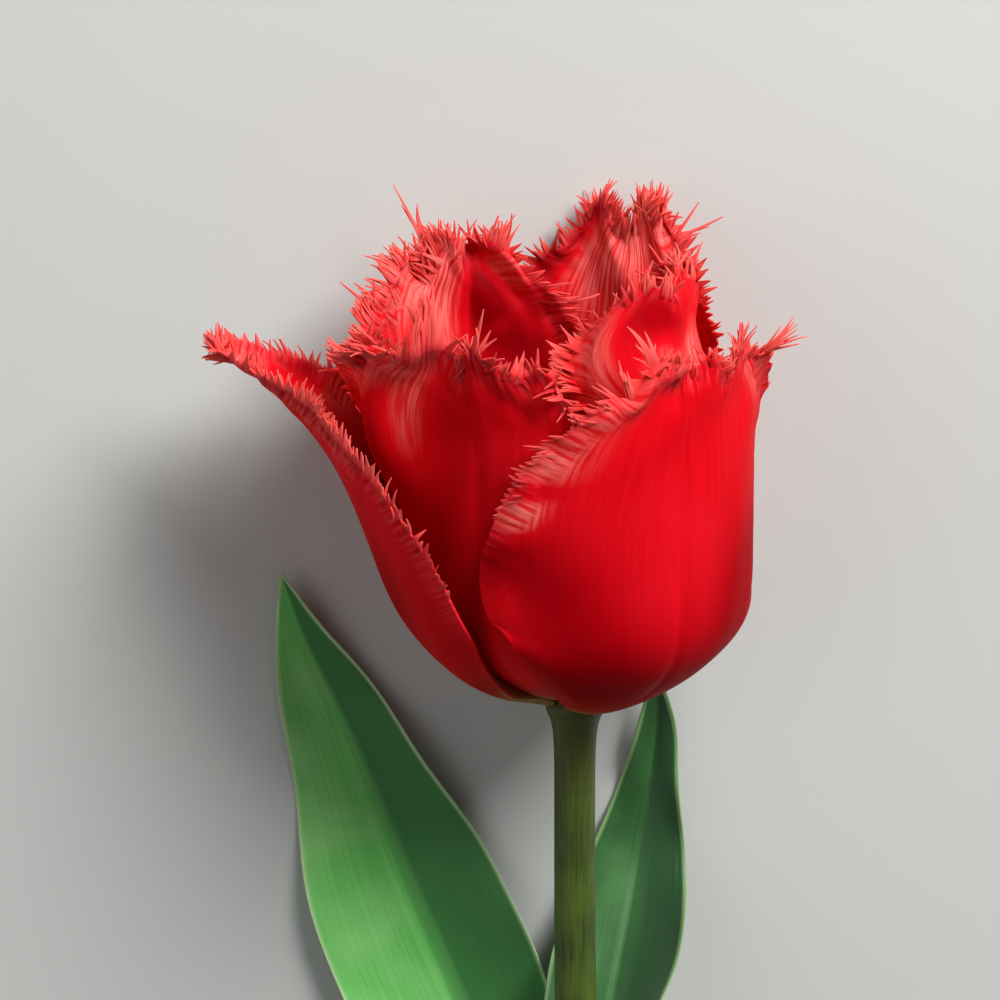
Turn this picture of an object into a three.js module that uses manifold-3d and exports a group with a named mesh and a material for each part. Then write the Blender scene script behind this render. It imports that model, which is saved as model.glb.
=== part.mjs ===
// A cut red fringed tulip, picked with two leaves and laid on its side on a flat surface.
// Millimetres, +Z up from the surface, +Y along the flower towards the petal tips, +X to the right
// for someone who looks down on it with the bloom at the top.
// The origin is the small flat spot under the bloom where its lowest petal touches the surface.
import * as THREE from 'three';
import { mergeVertices } from 'three/addons/utils/BufferGeometryUtils.js';
import Module from 'manifold-3d';

const wasm = await Module();
wasm.setup();

const DEGREE = Math.PI / 180;

// Driving dimensions
const BLOOM_TILT = 4 * DEGREE; // the bloom's axis rises by this much towards the petal tips
const AXIS_HEIGHT = 24.4; // height of the petals' foot above the surface
const REST_AHEAD = 27; // from the petals' foot forward to the flat spot
const STEM_LENGTH = 262; // from the petals' foot to the cut end
const STEM_RADIUS_TOP = 3.1;
const STEM_RADIUS_CUT = 4.2;
const STEM_BOW = 9; // sideways bow at the cut end
const PETAL_THICKNESS = 0.8;
const FRINGE_THICKNESS = 0.6;
const LEAF_THICKNESS = 1;
const LEAF_RIM_THICKNESS = 0.6;
const GAP = 0.3; // between pieces that touch

// Colours
const PETAL_RED = '#d40f22';
const STEM_GREEN = '#46562a';
const LEAF_GREEN = '#3c8a4a';
const OVARY_GREEN = '#b9bf6a';
const ANTHER_PURPLE = '#2a1a2c';

function material(color, roughness) {
  return new THREE.MeshStandardMaterial({ color, roughness, metalness: 0 });
}

// Seeded draws between low and high, the same on every run.
function drawer(seed) {
  let state = seed;
  return (low, high) => {
    state = (state * 1664525 + 1013904223) % 4294967296;
    return low + (high - low) * (state / 4294967296);
  };
}

const smooth = (low, high, x) => THREE.MathUtils.smoothstep(x, low, high);

// A smooth curve through values that stand at growing places, read at x.
function along(places, values, x) {
  const last = places.length - 1;
  let i = 0;
  while (i < last - 1 && x > places[i + 1]) i++;
  const slope = (k) => {
    const a = Math.max(k - 1, 0);
    const b = Math.min(k + 1, last);
    return (values[b] - values[a]) / (places[b] - places[a]);
  };
  const step = places[i + 1] - places[i];
  const t = (x - places[i]) / step;
  const t2 = t * t;
  const t3 = t2 * t;
  return (2 * t3 - 3 * t2 + 1) * values[i] + (t3 - 2 * t2 + t) * step * slope(i)
    + (3 * t2 - 2 * t3) * values[i + 1] + (t3 - t2) * step * slope(i + 1);
}

// A mesh from points and triangles, as one closed body.
function closedBody(points, triangles) {
  const geometry = new THREE.BufferGeometry();
  const numbers = points.flatMap((p) => [p.x, p.y, p.z]);
  geometry.setAttribute('position', new THREE.Float32BufferAttribute(numbers, 3));
  geometry.setIndex(triangles);
  return geometry;
}

function toManifold(geometry) {
  const bare = geometry.clone();
  bare.deleteAttribute('normal');
  bare.deleteAttribute('uv');
  const merged = mergeVertices(bare, 1e-4);
  return new wasm.Manifold(new wasm.Mesh({
    numProp: 3,
    vertProperties: new Float32Array(merged.attributes.position.array),
    triVerts: new Uint32Array(merged.index.array),
  }));
}

function fromManifold(solid) {
  const mesh = solid.getMesh();
  const geometry = new THREE.BufferGeometry();
  geometry.setAttribute('position', new THREE.BufferAttribute(new Float32Array(mesh.vertProperties), 3));
  geometry.setIndex(new THREE.BufferAttribute(new Uint32Array(mesh.triVerts), 1));
  return geometry;
}

// What lies above the surface. A leaf or petal that presses on the surface gets its flat spot here.
function cutAtSurface(geometry) {
  const under = new THREE.BoxGeometry(400, 900, 20);
  under.translate(0, 0, -10);
  return fromManifold(toManifold(geometry).subtract(toManifold(under)));
}

// A thin curved sheet. surface(u, v) gives its middle: u runs from -1 to 1 across, v from 0 at the
// foot to 1 at the tip. Both faces are split into triangles alike. The border from startV up, round
// the tip and down again is cut finer and may carry teeth: tooth(u, v, along) gives the two points
// that a tooth bends through, or null for a plain edge.
function sheet(surface, columns, rows, thickness, finer, tooth) {
  const points = [];
  const triangles = [];
  const step = 0.004;

  const normalAt = (u, v) => {
    const across = surface(Math.min(u + step, 1), v).sub(surface(Math.max(u - step, -1), v));
    const up = surface(u, Math.min(v + step, 1)).sub(surface(u, Math.max(v - step, 0)));
    return across.cross(up).normalize();
  };
  // Each place on the sheet is two points, front and back, one after the other.
  const place = (u, v) => {
    const middle = surface(u, v);
    const half = normalAt(u, v).multiplyScalar(thickness(u, v) / 2);
    points.push(middle.clone().add(half), middle.clone().sub(half));
    return { front: points.length - 2, back: points.length - 1, middle, half, u, v };
  };
  const face = (a, b, c) => triangles.push(a.front, b.front, c.front, a.back, c.back, b.back);

  // The inner net, with the border's rows and columns left out.
  const net = [];
  for (let j = 0; j < rows; j++) {
    net.push([]);
    for (let i = 1; i < columns; i++) net[j].push(place((2 * i) / columns - 1, j / rows));
  }
  for (let j = 0; j + 1 < rows; j++) {
    for (let i = 0; i + 2 < columns; i++) {
      face(net[j][i], net[j][i + 1], net[j + 1][i + 1]);
      face(net[j][i], net[j + 1][i + 1], net[j + 1][i]);
    }
  }

  // The border and the net's own edge beside it, both from the foot's right corner round the tip.
  const inner = [];
  for (let j = 0; j < rows; j++) inner.push(net[j][columns - 2]);
  for (let i = columns - 3; i >= 0; i--) inner.push(net[rows - 1][i]);
  for (let j = rows - 2; j >= 0; j--) inner.push(net[j][0]);
  const border = [];
  const sideSteps = rows * finer;
  const topSteps = columns * finer;
  for (let k = 0; k < sideSteps; k++) border.push(place(1, k / sideSteps));
  for (let k = 0; k < topSteps; k++) border.push(place(1 - (2 * k) / topSteps, 1));
  for (let k = sideSteps; k >= 0; k--) border.push(place(-1, k / sideSteps));

  // Zip the two lines together: the one that lags behind takes the next step.
  const total = border.length - 1;
  let a = 0;
  let b = 0;
  const innerShare = (k) => {
    const p = inner[k];
    const onRight = k < rows;
    const onLeft = k >= inner.length - rows;
    if (onRight && p.v < (rows - 1) / rows) return (p.v * sideSteps) / total;
    if (onLeft && p.v < (rows - 1) / rows) return 1 - (p.v * sideSteps) / total;
    return (sideSteps + ((1 - p.u) / 2) * topSteps) / total;
  };
  while (a + 1 < inner.length || b + 1 < border.length) {
    const stepInner = b + 1 === border.length
      || (a + 1 < inner.length && innerShare(a) + innerShare(a + 1) < (2 * b + 1) / total);
    if (stepInner) {
      face(inner[a], border[b], inner[a + 1]);
      a += 1;
    } else {
      face(inner[a], border[b], border[b + 1]);
      b += 1;
    }
  }

  // The edge wall, or teeth standing on it.
  const quad = (p, q, r, s) => triangles.push(p, q, r, p, r, s);
  for (let k = 0; k < total; k++) {
    const p = border[k];
    const q = border[k + 1];
    const bend = tooth ? tooth(p, q, k) : null;
    if (!bend) {
      quad(p.front, p.back, q.back, q.front);
      continue;
    }
    const waist = points.length;
    for (const [root, way] of [[p, 1], [p, -1], [q, -1], [q, 1]]) {
      const toward = root.middle.clone().add(root.half.clone().multiplyScalar(way * bend.taper));
      const centre = p.middle.clone().add(q.middle).multiplyScalar(0.5);
      points.push(bend.waist.clone().add(toward.sub(centre).multiplyScalar(bend.taper)));
    }
    points.push(bend.tip);
    const roots = [p.front, p.back, q.back, q.front];
    for (let n = 0; n < 4; n++) {
      const m = (n + 1) % 4;
      quad(roots[n], roots[m], waist + m, waist + n);
      triangles.push(waist + n, waist + m, waist + 4);
    }
  }
  // The foot's wall.
  const foot = [border[total], ...net[0], border[0]];
  for (let i = 0; i + 1 < foot.length; i++) {
    quad(foot[i].front, foot[i].back, foot[i + 1].back, foot[i + 1].front);
  }
  return closedBody(points, triangles);
}

// Petals. Each one's midline starts at the foot and leans from the bloom's axis by LEAN degrees at
// STATIONS, given as shares of its length. left and right are its half widths there, along its
// curve, in mm: left is towards a larger azimuth. Azimuth 0 is +X, 90 is straight up from the surface.
const STATIONS = [0, 0.12, 0.28, 0.45, 0.6, 0.75, 0.88, 1];
const OUTER_FOOT = { radius: 4.9, rise: 0 };
const INNER_FOOT = { radius: 4.1, rise: 1.8 };

// bend: how much each half turns in more than the cup, even across it. roll: the same, but at the
// margin only. twist: the whole width turned about the midline, left side outwards. slant: how much
// higher the tip's edge is on the left. All of these grow from the share FROM of the length.
const PETALS = [
  {
    name: 'petal_outer_front', foot: OUTER_FOOT, azimuth: 55, length: 69,
    lean: [70, 61, 44, 4, -1, -2, 1, 6],
    left: [3.8, 11, 23, 29.3, 30.5, 25, 15.5, 3],
    right: [3.6, 10.5, 20, 26, 29.5, 30.5, 27.5, 19],
    bend: [0, 0], roll: [10, -25], twist: 0, slant: 0.08, from: 0.5,
    wave: 0.7, phase: 0.4, fringe: 4.5, seed: 11,
  },
  {
    name: 'petal_outer_left', foot: OUTER_FOOT, azimuth: 180, length: 76,
    lean: [74, 62, 40, 21, 22, 35, 50, 60],
    left: [3.8, 11, 20, 26, 24, 17, 9, 2.5],
    right: [3.8, 12.5, 21.5, 26, 23.5, 15.5, 8.5, 2.5],
    bend: [24, 24], roll: [10, 10], twist: 0, slant: 0, from: 0.5,
    wave: 0.6, phase: 1.3, fringe: 4.5, seed: 23,
  },
  {
    name: 'petal_outer_back', foot: OUTER_FOOT, azimuth: 290, length: 79,
    lean: [68, 57, 33, 3, -1, -3, -2, 2],
    left: [3.6, 10.5, 20, 23, 20.5, 17, 12.5, 5],
    right: [3.8, 11, 21, 25.5, 25, 21.5, 16, 6],
    bend: [0, 0], roll: [10, -15], twist: 0, slant: 0, from: 0.5,
    wave: 1.2, phase: 2.1, fringe: 5, seed: 37,
  },
  {
    name: 'petal_inner_front', foot: INNER_FOOT, azimuth: 128, length: 64.5,
    lean: [68, 58, 40, 4, 1, 3, 7, 12],
    left: [3.2, 11.5, 19.5, 24, 26, 26, 23, 14],
    right: [3.2, 11, 19, 22, 22, 21.5, 20, 14],
    bend: [-38, 0], roll: [-35, 10], twist: 7, slant: 0.32, from: 0.35,
    wave: 1, phase: 0.2, fringe: 5, seed: 41,
  },
  {
    name: 'petal_inner_right', foot: INNER_FOOT, azimuth: -8, length: 73.5,
    lean: [66, 54, 31, -3, -8, -10, -10, -7],
    left: [3.2, 9.5, 17.5, 20.5, 23, 30, 34, 22],
    right: [3.2, 9.5, 17.5, 20.5, 20, 18.5, 16, 8],
    bend: [0, 0], roll: [85, -10], twist: 0, slant: 0.12, from: 0.45,
    wave: 0.8, phase: 0.9, fringe: 5, seed: 53,
  },
  {
    name: 'petal_inner_back', foot: INNER_FOOT, azimuth: 227, length: 73,
    lean: [66, 54, 32, 3, 0, 1, 4, 8],
    left: [3.2, 9.5, 18, 21, 20.5, 18.5, 13, 4.5],
    right: [3.2, 8.5, 14.5, 15.5, 16, 20.4, 20.5, 7],
    bend: [0, -10], roll: [20, -35], twist: -17, slant: 0, from: 0.45,
    wave: 1.3, phase: 2.8, fringe: 5.5, seed: 67,
  },
];

const MIDLINE_STEPS = 60;
const ACROSS_STEPS = 14;

// The place on a petal at u across and v along, in the bloom's own frame: Y is its axis.
function petalSurface(petal) {
  // The midline, walked once: radius from the axis and height at each step.
  const walk = [{ radius: petal.foot.radius, rise: petal.foot.rise }];
  const stride = petal.length / MIDLINE_STEPS;
  for (let k = 0; k < MIDLINE_STEPS; k++) {
    const lean = along(STATIONS, petal.lean, (k + 0.5) / MIDLINE_STEPS) * DEGREE;
    walk.push({
      radius: walk[k].radius + Math.sin(lean) * stride,
      rise: walk[k].rise + Math.cos(lean) * stride,
    });
  }
  return (u, v) => {
    const k = Math.min(Math.floor(v * MIDLINE_STEPS), MIDLINE_STEPS - 1);
    const share = v * MIDLINE_STEPS - k;
    const radius = THREE.MathUtils.lerp(walk[k].radius, walk[k + 1].radius, share);
    const rise = THREE.MathUtils.lerp(walk[k].rise, walk[k + 1].rise, share);
    const lean = along(STATIONS, petal.lean, v) * DEGREE;
    const half = along(STATIONS, u > 0 ? petal.left : petal.right, v);
    const late = smooth(petal.from, 1, v);
    const ofSide = u > 0 ? 0 : 1;
    const bend = petal.bend[ofSide] * DEGREE * late;
    const roll = petal.roll[ofSide] * DEGREE * late;
    const cup = Math.cos(lean) / radius;
    // Walk across from the midline, turning as the petal cups, channels and rolls.
    let side = 0;
    let inward = 0;
    const reach = Math.abs(u) * half;
    const sign = Math.sign(u);
    for (let n = 0; n < ACROSS_STEPS; n++) {
      const w = ((n + 0.5) / ACROSS_STEPS) * Math.abs(u);
      const turn = cup * w * half + bend * w + roll * w ** 4;
      side += (Math.cos(turn) * reach) / ACROSS_STEPS;
      inward += (Math.sin(turn) * reach) / ACROSS_STEPS;
    }
    side *= sign;
    // The tip's edge may stand higher on one side.
    const slanted = petal.slant * smooth(0.55, 1, v) * side;
    // The margin waves, most at the tip.
    const edge = Math.max(Math.abs(u) ** 3, smooth(0.7, 1, v));
    inward += petal.wave * late * edge * Math.sin(7 * u + 24 * v + petal.phase * 6);
    const twist = petal.twist * DEGREE * late;
    const sideways = side * Math.cos(twist) + inward * Math.sin(twist);
    const inwards = inward * Math.cos(twist) - side * Math.sin(twist);
    const outX = radius - inwards * Math.cos(lean) + slanted * Math.sin(lean);
    const up = rise + inwards * Math.sin(lean) + slanted * Math.cos(lean);
    const azimuth = petal.azimuth * DEGREE;
    return new THREE.Vector3(
      outX * Math.cos(azimuth) - sideways * Math.sin(azimuth),
      up,
      outX * Math.sin(azimuth) + sideways * Math.cos(azimuth),
    );
  };
}

const FRINGE_FROM = 0.42; // the margin is plain below this share of the length

// The teeth of one petal's fringe: each leaves the margin outwards, sweeps towards the tip and bends.
function fringeOf(petal, surface) {
  const draw = drawer(petal.seed);
  return (p, q) => {
    const v = (p.v + q.v) / 2;
    const u = (p.u + q.u) / 2;
    if (v < FRINGE_FROM) return null;
    const centre = p.middle.clone().add(q.middle).multiplyScalar(0.5);
    const normal = p.half.clone().add(q.half).normalize();
    const edge = q.middle.clone().sub(p.middle);
    const width = edge.length();
    edge.normalize();
    const out = edge.clone().cross(normal).normalize();
    if (out.dot(centre.clone().sub(surface(u * 0.97, Math.min(v, 0.985)))) < 0) out.negate();
    const tipward = surface(u, Math.min(v + 0.02, 1)).sub(surface(u, v - 0.02)).normalize();
    const grown = smooth(FRINGE_FROM - 0.1, 0.8, v);
    const length = petal.fringe * (0.35 + 0.65 * grown) * draw(0.55, 1.35);
    const sweep = 0.35 * (1 - smooth(0.9, 1, v)) + draw(-0.1, 0.2);
    const way = out.addScaledVector(tipward, sweep).addScaledVector(edge, draw(-0.12, 0.12)).normalize();
    const bend = draw(-0.35, 0.35);
    const at = (share, rise) => centre.clone().addScaledVector(way, length * share)
      .addScaledVector(normal, length * rise);
    const waist = at(0.45, bend * 0.15);
    const tip = at(1, bend);
    return { waist, tip, taper: Math.min(0.5, 0.8 / width) };
  };
}

const PETAL_COLUMNS = 8;
const PETAL_ROWS = 14;
const FINER = 2;

function makePetal(petal) {
  const surface = petalSurface(petal);
  const thickness = (u, v) => {
    const edge = Math.max(Math.abs(u) ** 4, smooth(0.85, 1, v));
    return THREE.MathUtils.lerp(PETAL_THICKNESS, FRINGE_THICKNESS, edge);
  };
  const geometry = sheet(surface, PETAL_COLUMNS, PETAL_ROWS, thickness, FINER, fringeOf(petal, surface));
  const mesh = new THREE.Mesh(geometry, material(PETAL_RED, 0.5));
  mesh.name = petal.name;
  return mesh;
}

// A closed body through rings of points that all have the same count.
function throughRings(rings) {
  const sides = rings[0].length;
  const points = rings.flat();
  const triangles = [];
  for (let k = 0; k + 1 < rings.length; k++) {
    for (let i = 0; i < sides; i++) {
      const a = k * sides + i;
      const b = k * sides + ((i + 1) % sides);
      triangles.push(a, b, b + sides, a, b + sides, a + sides);
    }
  }
  for (const [k, flip] of [[0, true], [rings.length - 1, false]]) {
    const centre = rings[k].reduce((sum, p) => sum.add(p), new THREE.Vector3()).divideScalar(sides);
    points.push(centre);
    for (let i = 0; i < sides; i++) {
      const a = k * sides + i;
      const b = k * sides + ((i + 1) % sides);
      triangles.push(...(flip ? [b, a] : [a, b]), points.length - 1);
    }
  }
  return closedBody(points, triangles);
}

// The stem, measured back from the petals' foot along its axis.
const SAG = AXIS_HEIGHT - STEM_LENGTH * Math.sin(BLOOM_TILT) - STEM_RADIUS_CUT * Math.cos(BLOOM_TILT);

function stemCentre(distance) {
  const share = Math.max(distance, 0) / STEM_LENGTH;
  return new THREE.Vector3(
    STEM_BOW * share ** 2,
    -distance * Math.cos(BLOOM_TILT),
    AXIS_HEIGHT - distance * Math.sin(BLOOM_TILT) - SAG * share ** 2,
  );
}

function stemRadius(distance) {
  return THREE.MathUtils.lerp(STEM_RADIUS_TOP, STEM_RADIUS_CUT, smooth(0, 1, distance / STEM_LENGTH));
}

// Receptacle: the stem's widened top, as rise above the petals' foot and radius.
const RECEPTACLE = [
  [-7, 3.15], [-3.6, 3.35], [-1.8, 3.8], [-0.6, 4.5],
  [0.6, 4.5], [1.3, 3.75], [2.6, 3.75], [3.6, 3.4],
];
const STEM_SIDES = 16;
const STEM_RINGS = 22;
const PLAIN_STEM_FROM = 11; // below this the stem has its plain radius

function makeStem() {
  const places = [];
  for (let k = 0; k <= STEM_RINGS; k++) {
    places.push([-STEM_LENGTH + (k / STEM_RINGS) * (STEM_LENGTH - PLAIN_STEM_FROM), null]);
  }
  places.push(...RECEPTACLE);
  const rings = places.map(([rise, radius]) => {
    const centre = stemCentre(-rise);
    const forward = stemCentre(-rise - 1).sub(stemCentre(-rise + 1)).normalize();
    const side = forward.clone().cross(new THREE.Vector3(0, 0, 1)).normalize();
    const up = side.clone().cross(forward);
    const reach = radius ?? stemRadius(-rise);
    const ring = [];
    for (let i = 0; i < STEM_SIDES; i++) {
      const angle = (-i / STEM_SIDES) * 2 * Math.PI - Math.PI / 2;
      const place = centre.clone().addScaledVector(side, reach * Math.cos(angle));
      ring.push(place.addScaledVector(up, reach * Math.sin(angle)));
    }
    return ring;
  });
  const mesh = new THREE.Mesh(throughRings(rings), material(STEM_GREEN, 0.55));
  mesh.name = 'stem';
  return mesh;
}

// Pistil: a three-sided ovary that carries a three-lobed stigma. Rise, radius, how deep the sides fall in.
const PISTIL = [
  [3.9, 1.9, 0.06], [6, 2.3, 0.1], [11, 2.8, 0.14], [17, 2.6, 0.14], [20.4, 2.1, 0.12],
  [21.2, 3, 0.3], [22.4, 4.3, 0.42], [23.5, 3.9, 0.42], [23.7, 2.4, 0.3], [23, 0.9, 0.1],
];

const PISTIL_SIDES = 18;

function makePistil() {
  const rings = PISTIL.map(([rise, radius, lobes]) => {
    const ring = [];
    for (let i = 0; i < PISTIL_SIDES; i++) {
      const angle = (-i / PISTIL_SIDES) * 2 * Math.PI;
      const reach = radius * (1 - lobes * (0.5 - 0.5 * Math.cos(3 * angle)));
      ring.push(new THREE.Vector3(reach * Math.cos(angle), rise, reach * Math.sin(angle)));
    }
    return ring;
  });
  const mesh = new THREE.Mesh(throughRings(rings), material(OVARY_GREEN, 0.6));
  mesh.name = 'pistil';
  return mesh;
}

// Stamen: a short filament that carries a long anther. Rise, width along the ring, depth.
const STAMEN = [
  [0, 0.8, 0.7], [3, 0.75, 0.65], [7, 0.6, 0.55], [9, 0.45, 0.45],
  [9.6, 1, 0.9], [12, 1.5, 1.2], [15.5, 1.4, 1.1], [18, 0.9, 0.8], [18.8, 0.35, 0.3],
];
const STAMEN_RING = 3;
const STAMEN_RISE = 4;
const STAMEN_LEAN = 14 * DEGREE;
const STAMEN_SIDES = 8;
const STAMENS = 6;

function makeStamen(number) {
  const draw = drawer(90 + number);
  const azimuth = ((number * 360) / STAMENS + 25) * DEGREE;
  const lean = STAMEN_LEAN + draw(-2, 2) * DEGREE;
  const rings = STAMEN.map(([rise, width, depth]) => {
    const ring = [];
    for (let i = 0; i < STAMEN_SIDES; i++) {
      const angle = (-i / STAMEN_SIDES) * 2 * Math.PI;
      ring.push(new THREE.Vector3(depth * Math.cos(angle), rise, width * Math.sin(angle)));
    }
    return ring;
  });
  const geometry = throughRings(rings);
  geometry.rotateZ(-lean);
  geometry.translate(STAMEN_RING, STAMEN_RISE, 0);
  geometry.rotateY(-azimuth);
  const mesh = new THREE.Mesh(geometry, material(ANTHER_PURPLE, 0.7));
  mesh.name = `stamen_${number}`;
  return mesh;
}

// Leaves. Each grows from the stem at ATTACHED (distance behind the petals' foot), clasps it from
// the side CLOCK (0 right, 90 up) and runs through PATH. At STATIONS along it: half width, the way
// the upper face looks, and how far each half turns up by its margin, in degrees.
const LEAVES = [
  {
    name: 'leaf_left', attached: 106, clock: 222,
    path: [
      [-9.5, -78, 7.6], [-17.5, -58, 3], [-27, -35, 0.55],
      [-35, -13, 0.35], [-41.5, 3, 1.4], [-45, 15, 3.6],
    ],
    half: [8, 9.5, 13, 16, 15, 10.5, 6, 0.9],
    face: [42, 50, 68, 84, 92, 96, 98, 98],
    turn: [96, 72, 42, 30, 24, 22, 20, 12],
    wave: 1.1,
  },
  {
    name: 'leaf_right', attached: 76, clock: 318,
    path: [
      [5.8, -54, 12.4], [8.6, -42, 5.6], [11, -29, 0.8],
      [12.3, -19, 0.8], [13.2, -9, 3], [12.8, 1, 6],
    ],
    half: [8.6, 9.6, 10.8, 10.5, 7.8, 4.8, 2.9, 0.8],
    face: [138, 130, 118, 106, 98, 96, 96, 96],
    turn: [96, 74, 50, 38, 32, 28, 24, 14],
    wave: 0.8,
  },
];
const CLASP_LENGTH = 12;
const CLASP_SLACK = 0.25;

function leafSurface(leaf) {
  const clock = leaf.clock * DEGREE;
  const out = new THREE.Vector3(Math.cos(clock), 0, Math.sin(clock));
  const off = GAP + CLASP_SLACK + LEAF_THICKNESS / 2;
  const clasp = (distance) => stemCentre(distance).addScaledVector(out, stemRadius(distance) + off);
  const points = [0, CLASP_LENGTH / 2, CLASP_LENGTH].map((back) => clasp(leaf.attached - back));
  for (const [x, y, z] of leaf.path) points.push(new THREE.Vector3(x, y, z));
  const curve = new THREE.CatmullRomCurve3(points, false, 'centripetal');
  return (u, v) => {
    const forward = curve.getTangentAt(v);
    const face = along(STATIONS, leaf.face, v) * DEGREE;
    const normal = new THREE.Vector3(Math.cos(face), 0, Math.sin(face));
    normal.addScaledVector(forward, -normal.dot(forward)).normalize();
    const side = forward.clone().cross(normal);
    const half = along(STATIONS, leaf.half, v);
    const most = along(STATIONS, leaf.turn, v) * DEGREE;
    let across = 0;
    let rise = 0;
    for (let n = 0; n < ACROSS_STEPS; n++) {
      const turn = most * ((n + 0.5) / ACROSS_STEPS) * Math.abs(u);
      across += (Math.cos(turn) * Math.abs(u) * half) / ACROSS_STEPS;
      rise += (Math.sin(turn) * Math.abs(u) * half) / ACROSS_STEPS;
    }
    const free = smooth(0.2, 0.5, v) * (1 - smooth(0.8, 1, v));
    rise += leaf.wave * free * u * u * Math.sin(v * 26 + u * 1.5);
    return curve.getPointAt(v).addScaledVector(side, across * Math.sign(u)).addScaledVector(normal, rise);
  };
}

const LEAF_COLUMNS = 8;
const LEAF_ROWS = 24;

function makeLeaf(leaf) {
  const thickness = (u, v) => {
    const edge = Math.max(u ** 4, smooth(0.9, 1, v));
    return THREE.MathUtils.lerp(LEAF_THICKNESS, LEAF_RIM_THICKNESS, edge);
  };
  const geometry = sheet(leafSurface(leaf), LEAF_COLUMNS, LEAF_ROWS, thickness, 1, null);
  const mesh = new THREE.Mesh(geometry, material(LEAF_GREEN, 0.55));
  mesh.name = leaf.name;
  return mesh;
}

// What leans with the bloom's axis
const bloom = new THREE.Group();
bloom.position.z = AXIS_HEIGHT;
bloom.rotation.x = BLOOM_TILT;
for (const petal of PETALS) bloom.add(makePetal(petal));
bloom.add(makePistil());
for (let number = 1; number <= STAMENS; number++) bloom.add(makeStamen(number));

// The whole flower, before what lies below the surface is cut off
const lying = new THREE.Group();
lying.position.y = -REST_AHEAD;
lying.add(bloom, makeStem());
for (const leaf of LEAVES) lying.add(makeLeaf(leaf));
lying.updateMatrixWorld(true);

const RESTING = ['petal_outer_back', 'leaf_left', 'leaf_right', 'stem'];
const flower = new THREE.Group();
flower.name = 'fringed_tulip';
const pieces = [];
lying.traverse((piece) => {
  if (piece.isMesh) pieces.push(piece);
});
for (const piece of pieces) {
  piece.geometry.applyMatrix4(piece.matrixWorld);
  if (RESTING.includes(piece.name)) piece.geometry = cutAtSurface(piece.geometry);
  const resting = new THREE.Mesh(piece.geometry, piece.material);
  resting.name = piece.name;
  flower.add(resting);
}

export default flower;
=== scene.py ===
# %% [markdown]
# # A cut fringed tulip
# The flower lies on its side on a table: six red petals with a fringe of fine hairs, a pistil and six
# stamens inside them, a round stem and two broad leaves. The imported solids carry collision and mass.
# This lesson gives each of them its look: a thin petal with hairs in place of a plain thin solid.
# It starts by loading the solids, because every piece made here has to stay where its solid is.

# %% Load the frame
import math

import bpy
import numpy as np
from mathutils import Matrix, Vector


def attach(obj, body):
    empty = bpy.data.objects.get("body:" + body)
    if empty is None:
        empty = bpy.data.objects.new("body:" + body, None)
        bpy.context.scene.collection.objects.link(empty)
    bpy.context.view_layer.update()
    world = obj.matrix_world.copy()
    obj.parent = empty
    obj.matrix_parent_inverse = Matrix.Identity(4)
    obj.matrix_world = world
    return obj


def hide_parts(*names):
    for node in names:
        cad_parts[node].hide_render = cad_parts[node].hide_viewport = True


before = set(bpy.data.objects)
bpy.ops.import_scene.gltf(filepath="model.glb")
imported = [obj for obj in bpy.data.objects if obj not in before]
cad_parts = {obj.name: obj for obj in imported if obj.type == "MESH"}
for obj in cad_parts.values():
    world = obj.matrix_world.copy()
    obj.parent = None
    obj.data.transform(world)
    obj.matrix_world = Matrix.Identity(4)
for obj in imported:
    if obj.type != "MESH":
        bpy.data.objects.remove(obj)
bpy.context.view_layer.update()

# %% [markdown]
# ## The camera
# The flower lies flat, so the camera looks down on it. It leans 13 degrees towards the petal tips,
# which is how far one sees into the mouth of the bloom. A lens could be guessed and then moved until
# the picture fits. Here the size of one pixel is known, from the stem's real thickness, so the
# distance and the lens follow from it: the frame is 150 mm wide at the bloom's axis.

# %% Set up the camera
MM = 0.001
PIXEL = 0.15 * MM
FRAME_PIXELS = 1000
FOOT_PIXEL = (575, 705)  # where the petals' foot stands in the frame
AXIS_HEIGHT = 24.4  # mm, the petals' foot above the table
REST_AHEAD = 27  # mm, from the petals' foot forward to the spot where the bloom rests
CAMERA_DISTANCE = 0.6
CAMERA_LEAN = math.radians(13)
SENSOR = 36  # mm, its width

to_camera = Vector((0, math.sin(CAMERA_LEAN), math.cos(CAMERA_LEAN)))
frame_up = Vector((0, math.cos(CAMERA_LEAN), -math.sin(CAMERA_LEAN)))
frame_right = Vector((1, 0, 0))
foot = Vector((0, -REST_AHEAD, AXIS_HEIGHT)) * MM
middle = (foot + frame_right * (FRAME_PIXELS / 2 - FOOT_PIXEL[0]) * PIXEL
          + frame_up * (FOOT_PIXEL[1] - FRAME_PIXELS / 2) * PIXEL)

camera_data = bpy.data.cameras.new("camera")
camera_data.sensor_width = SENSOR
camera_data.lens = SENSOR * CAMERA_DISTANCE / (FRAME_PIXELS * PIXEL)
camera = bpy.data.objects.new("camera", camera_data)
turn = Matrix((frame_right, frame_up, to_camera)).transposed().to_4x4()
camera.matrix_world = Matrix.Translation(middle + to_camera * CAMERA_DISTANCE) @ turn
bpy.context.scene.collection.objects.link(camera)
bpy.context.scene.camera = camera
print("lens:", round(camera_data.lens, 1), "mm, camera at", tuple(round(c, 3) for c in camera.location))

# %% [markdown]
# ## Petals as surfaces
# A petal is a thin sheet that is curved both ways. It could be pushed into shape by hand, but six
# petals that pass each other closely are hard to keep apart that way. They are described the way they
# grow instead: a midline that leans from the bloom's axis, a half width to each side of it, and how
# much each side cups, bends and rolls. These are the numbers that the solids were made from.
# The values stand at eight places along the petal, and a smooth curve runs through them.

# %% Read smooth values along a petal or a leaf
PLACES = np.array([0, 0.12, 0.28, 0.45, 0.6, 0.75, 0.88, 1])  # shares of the length


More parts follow.
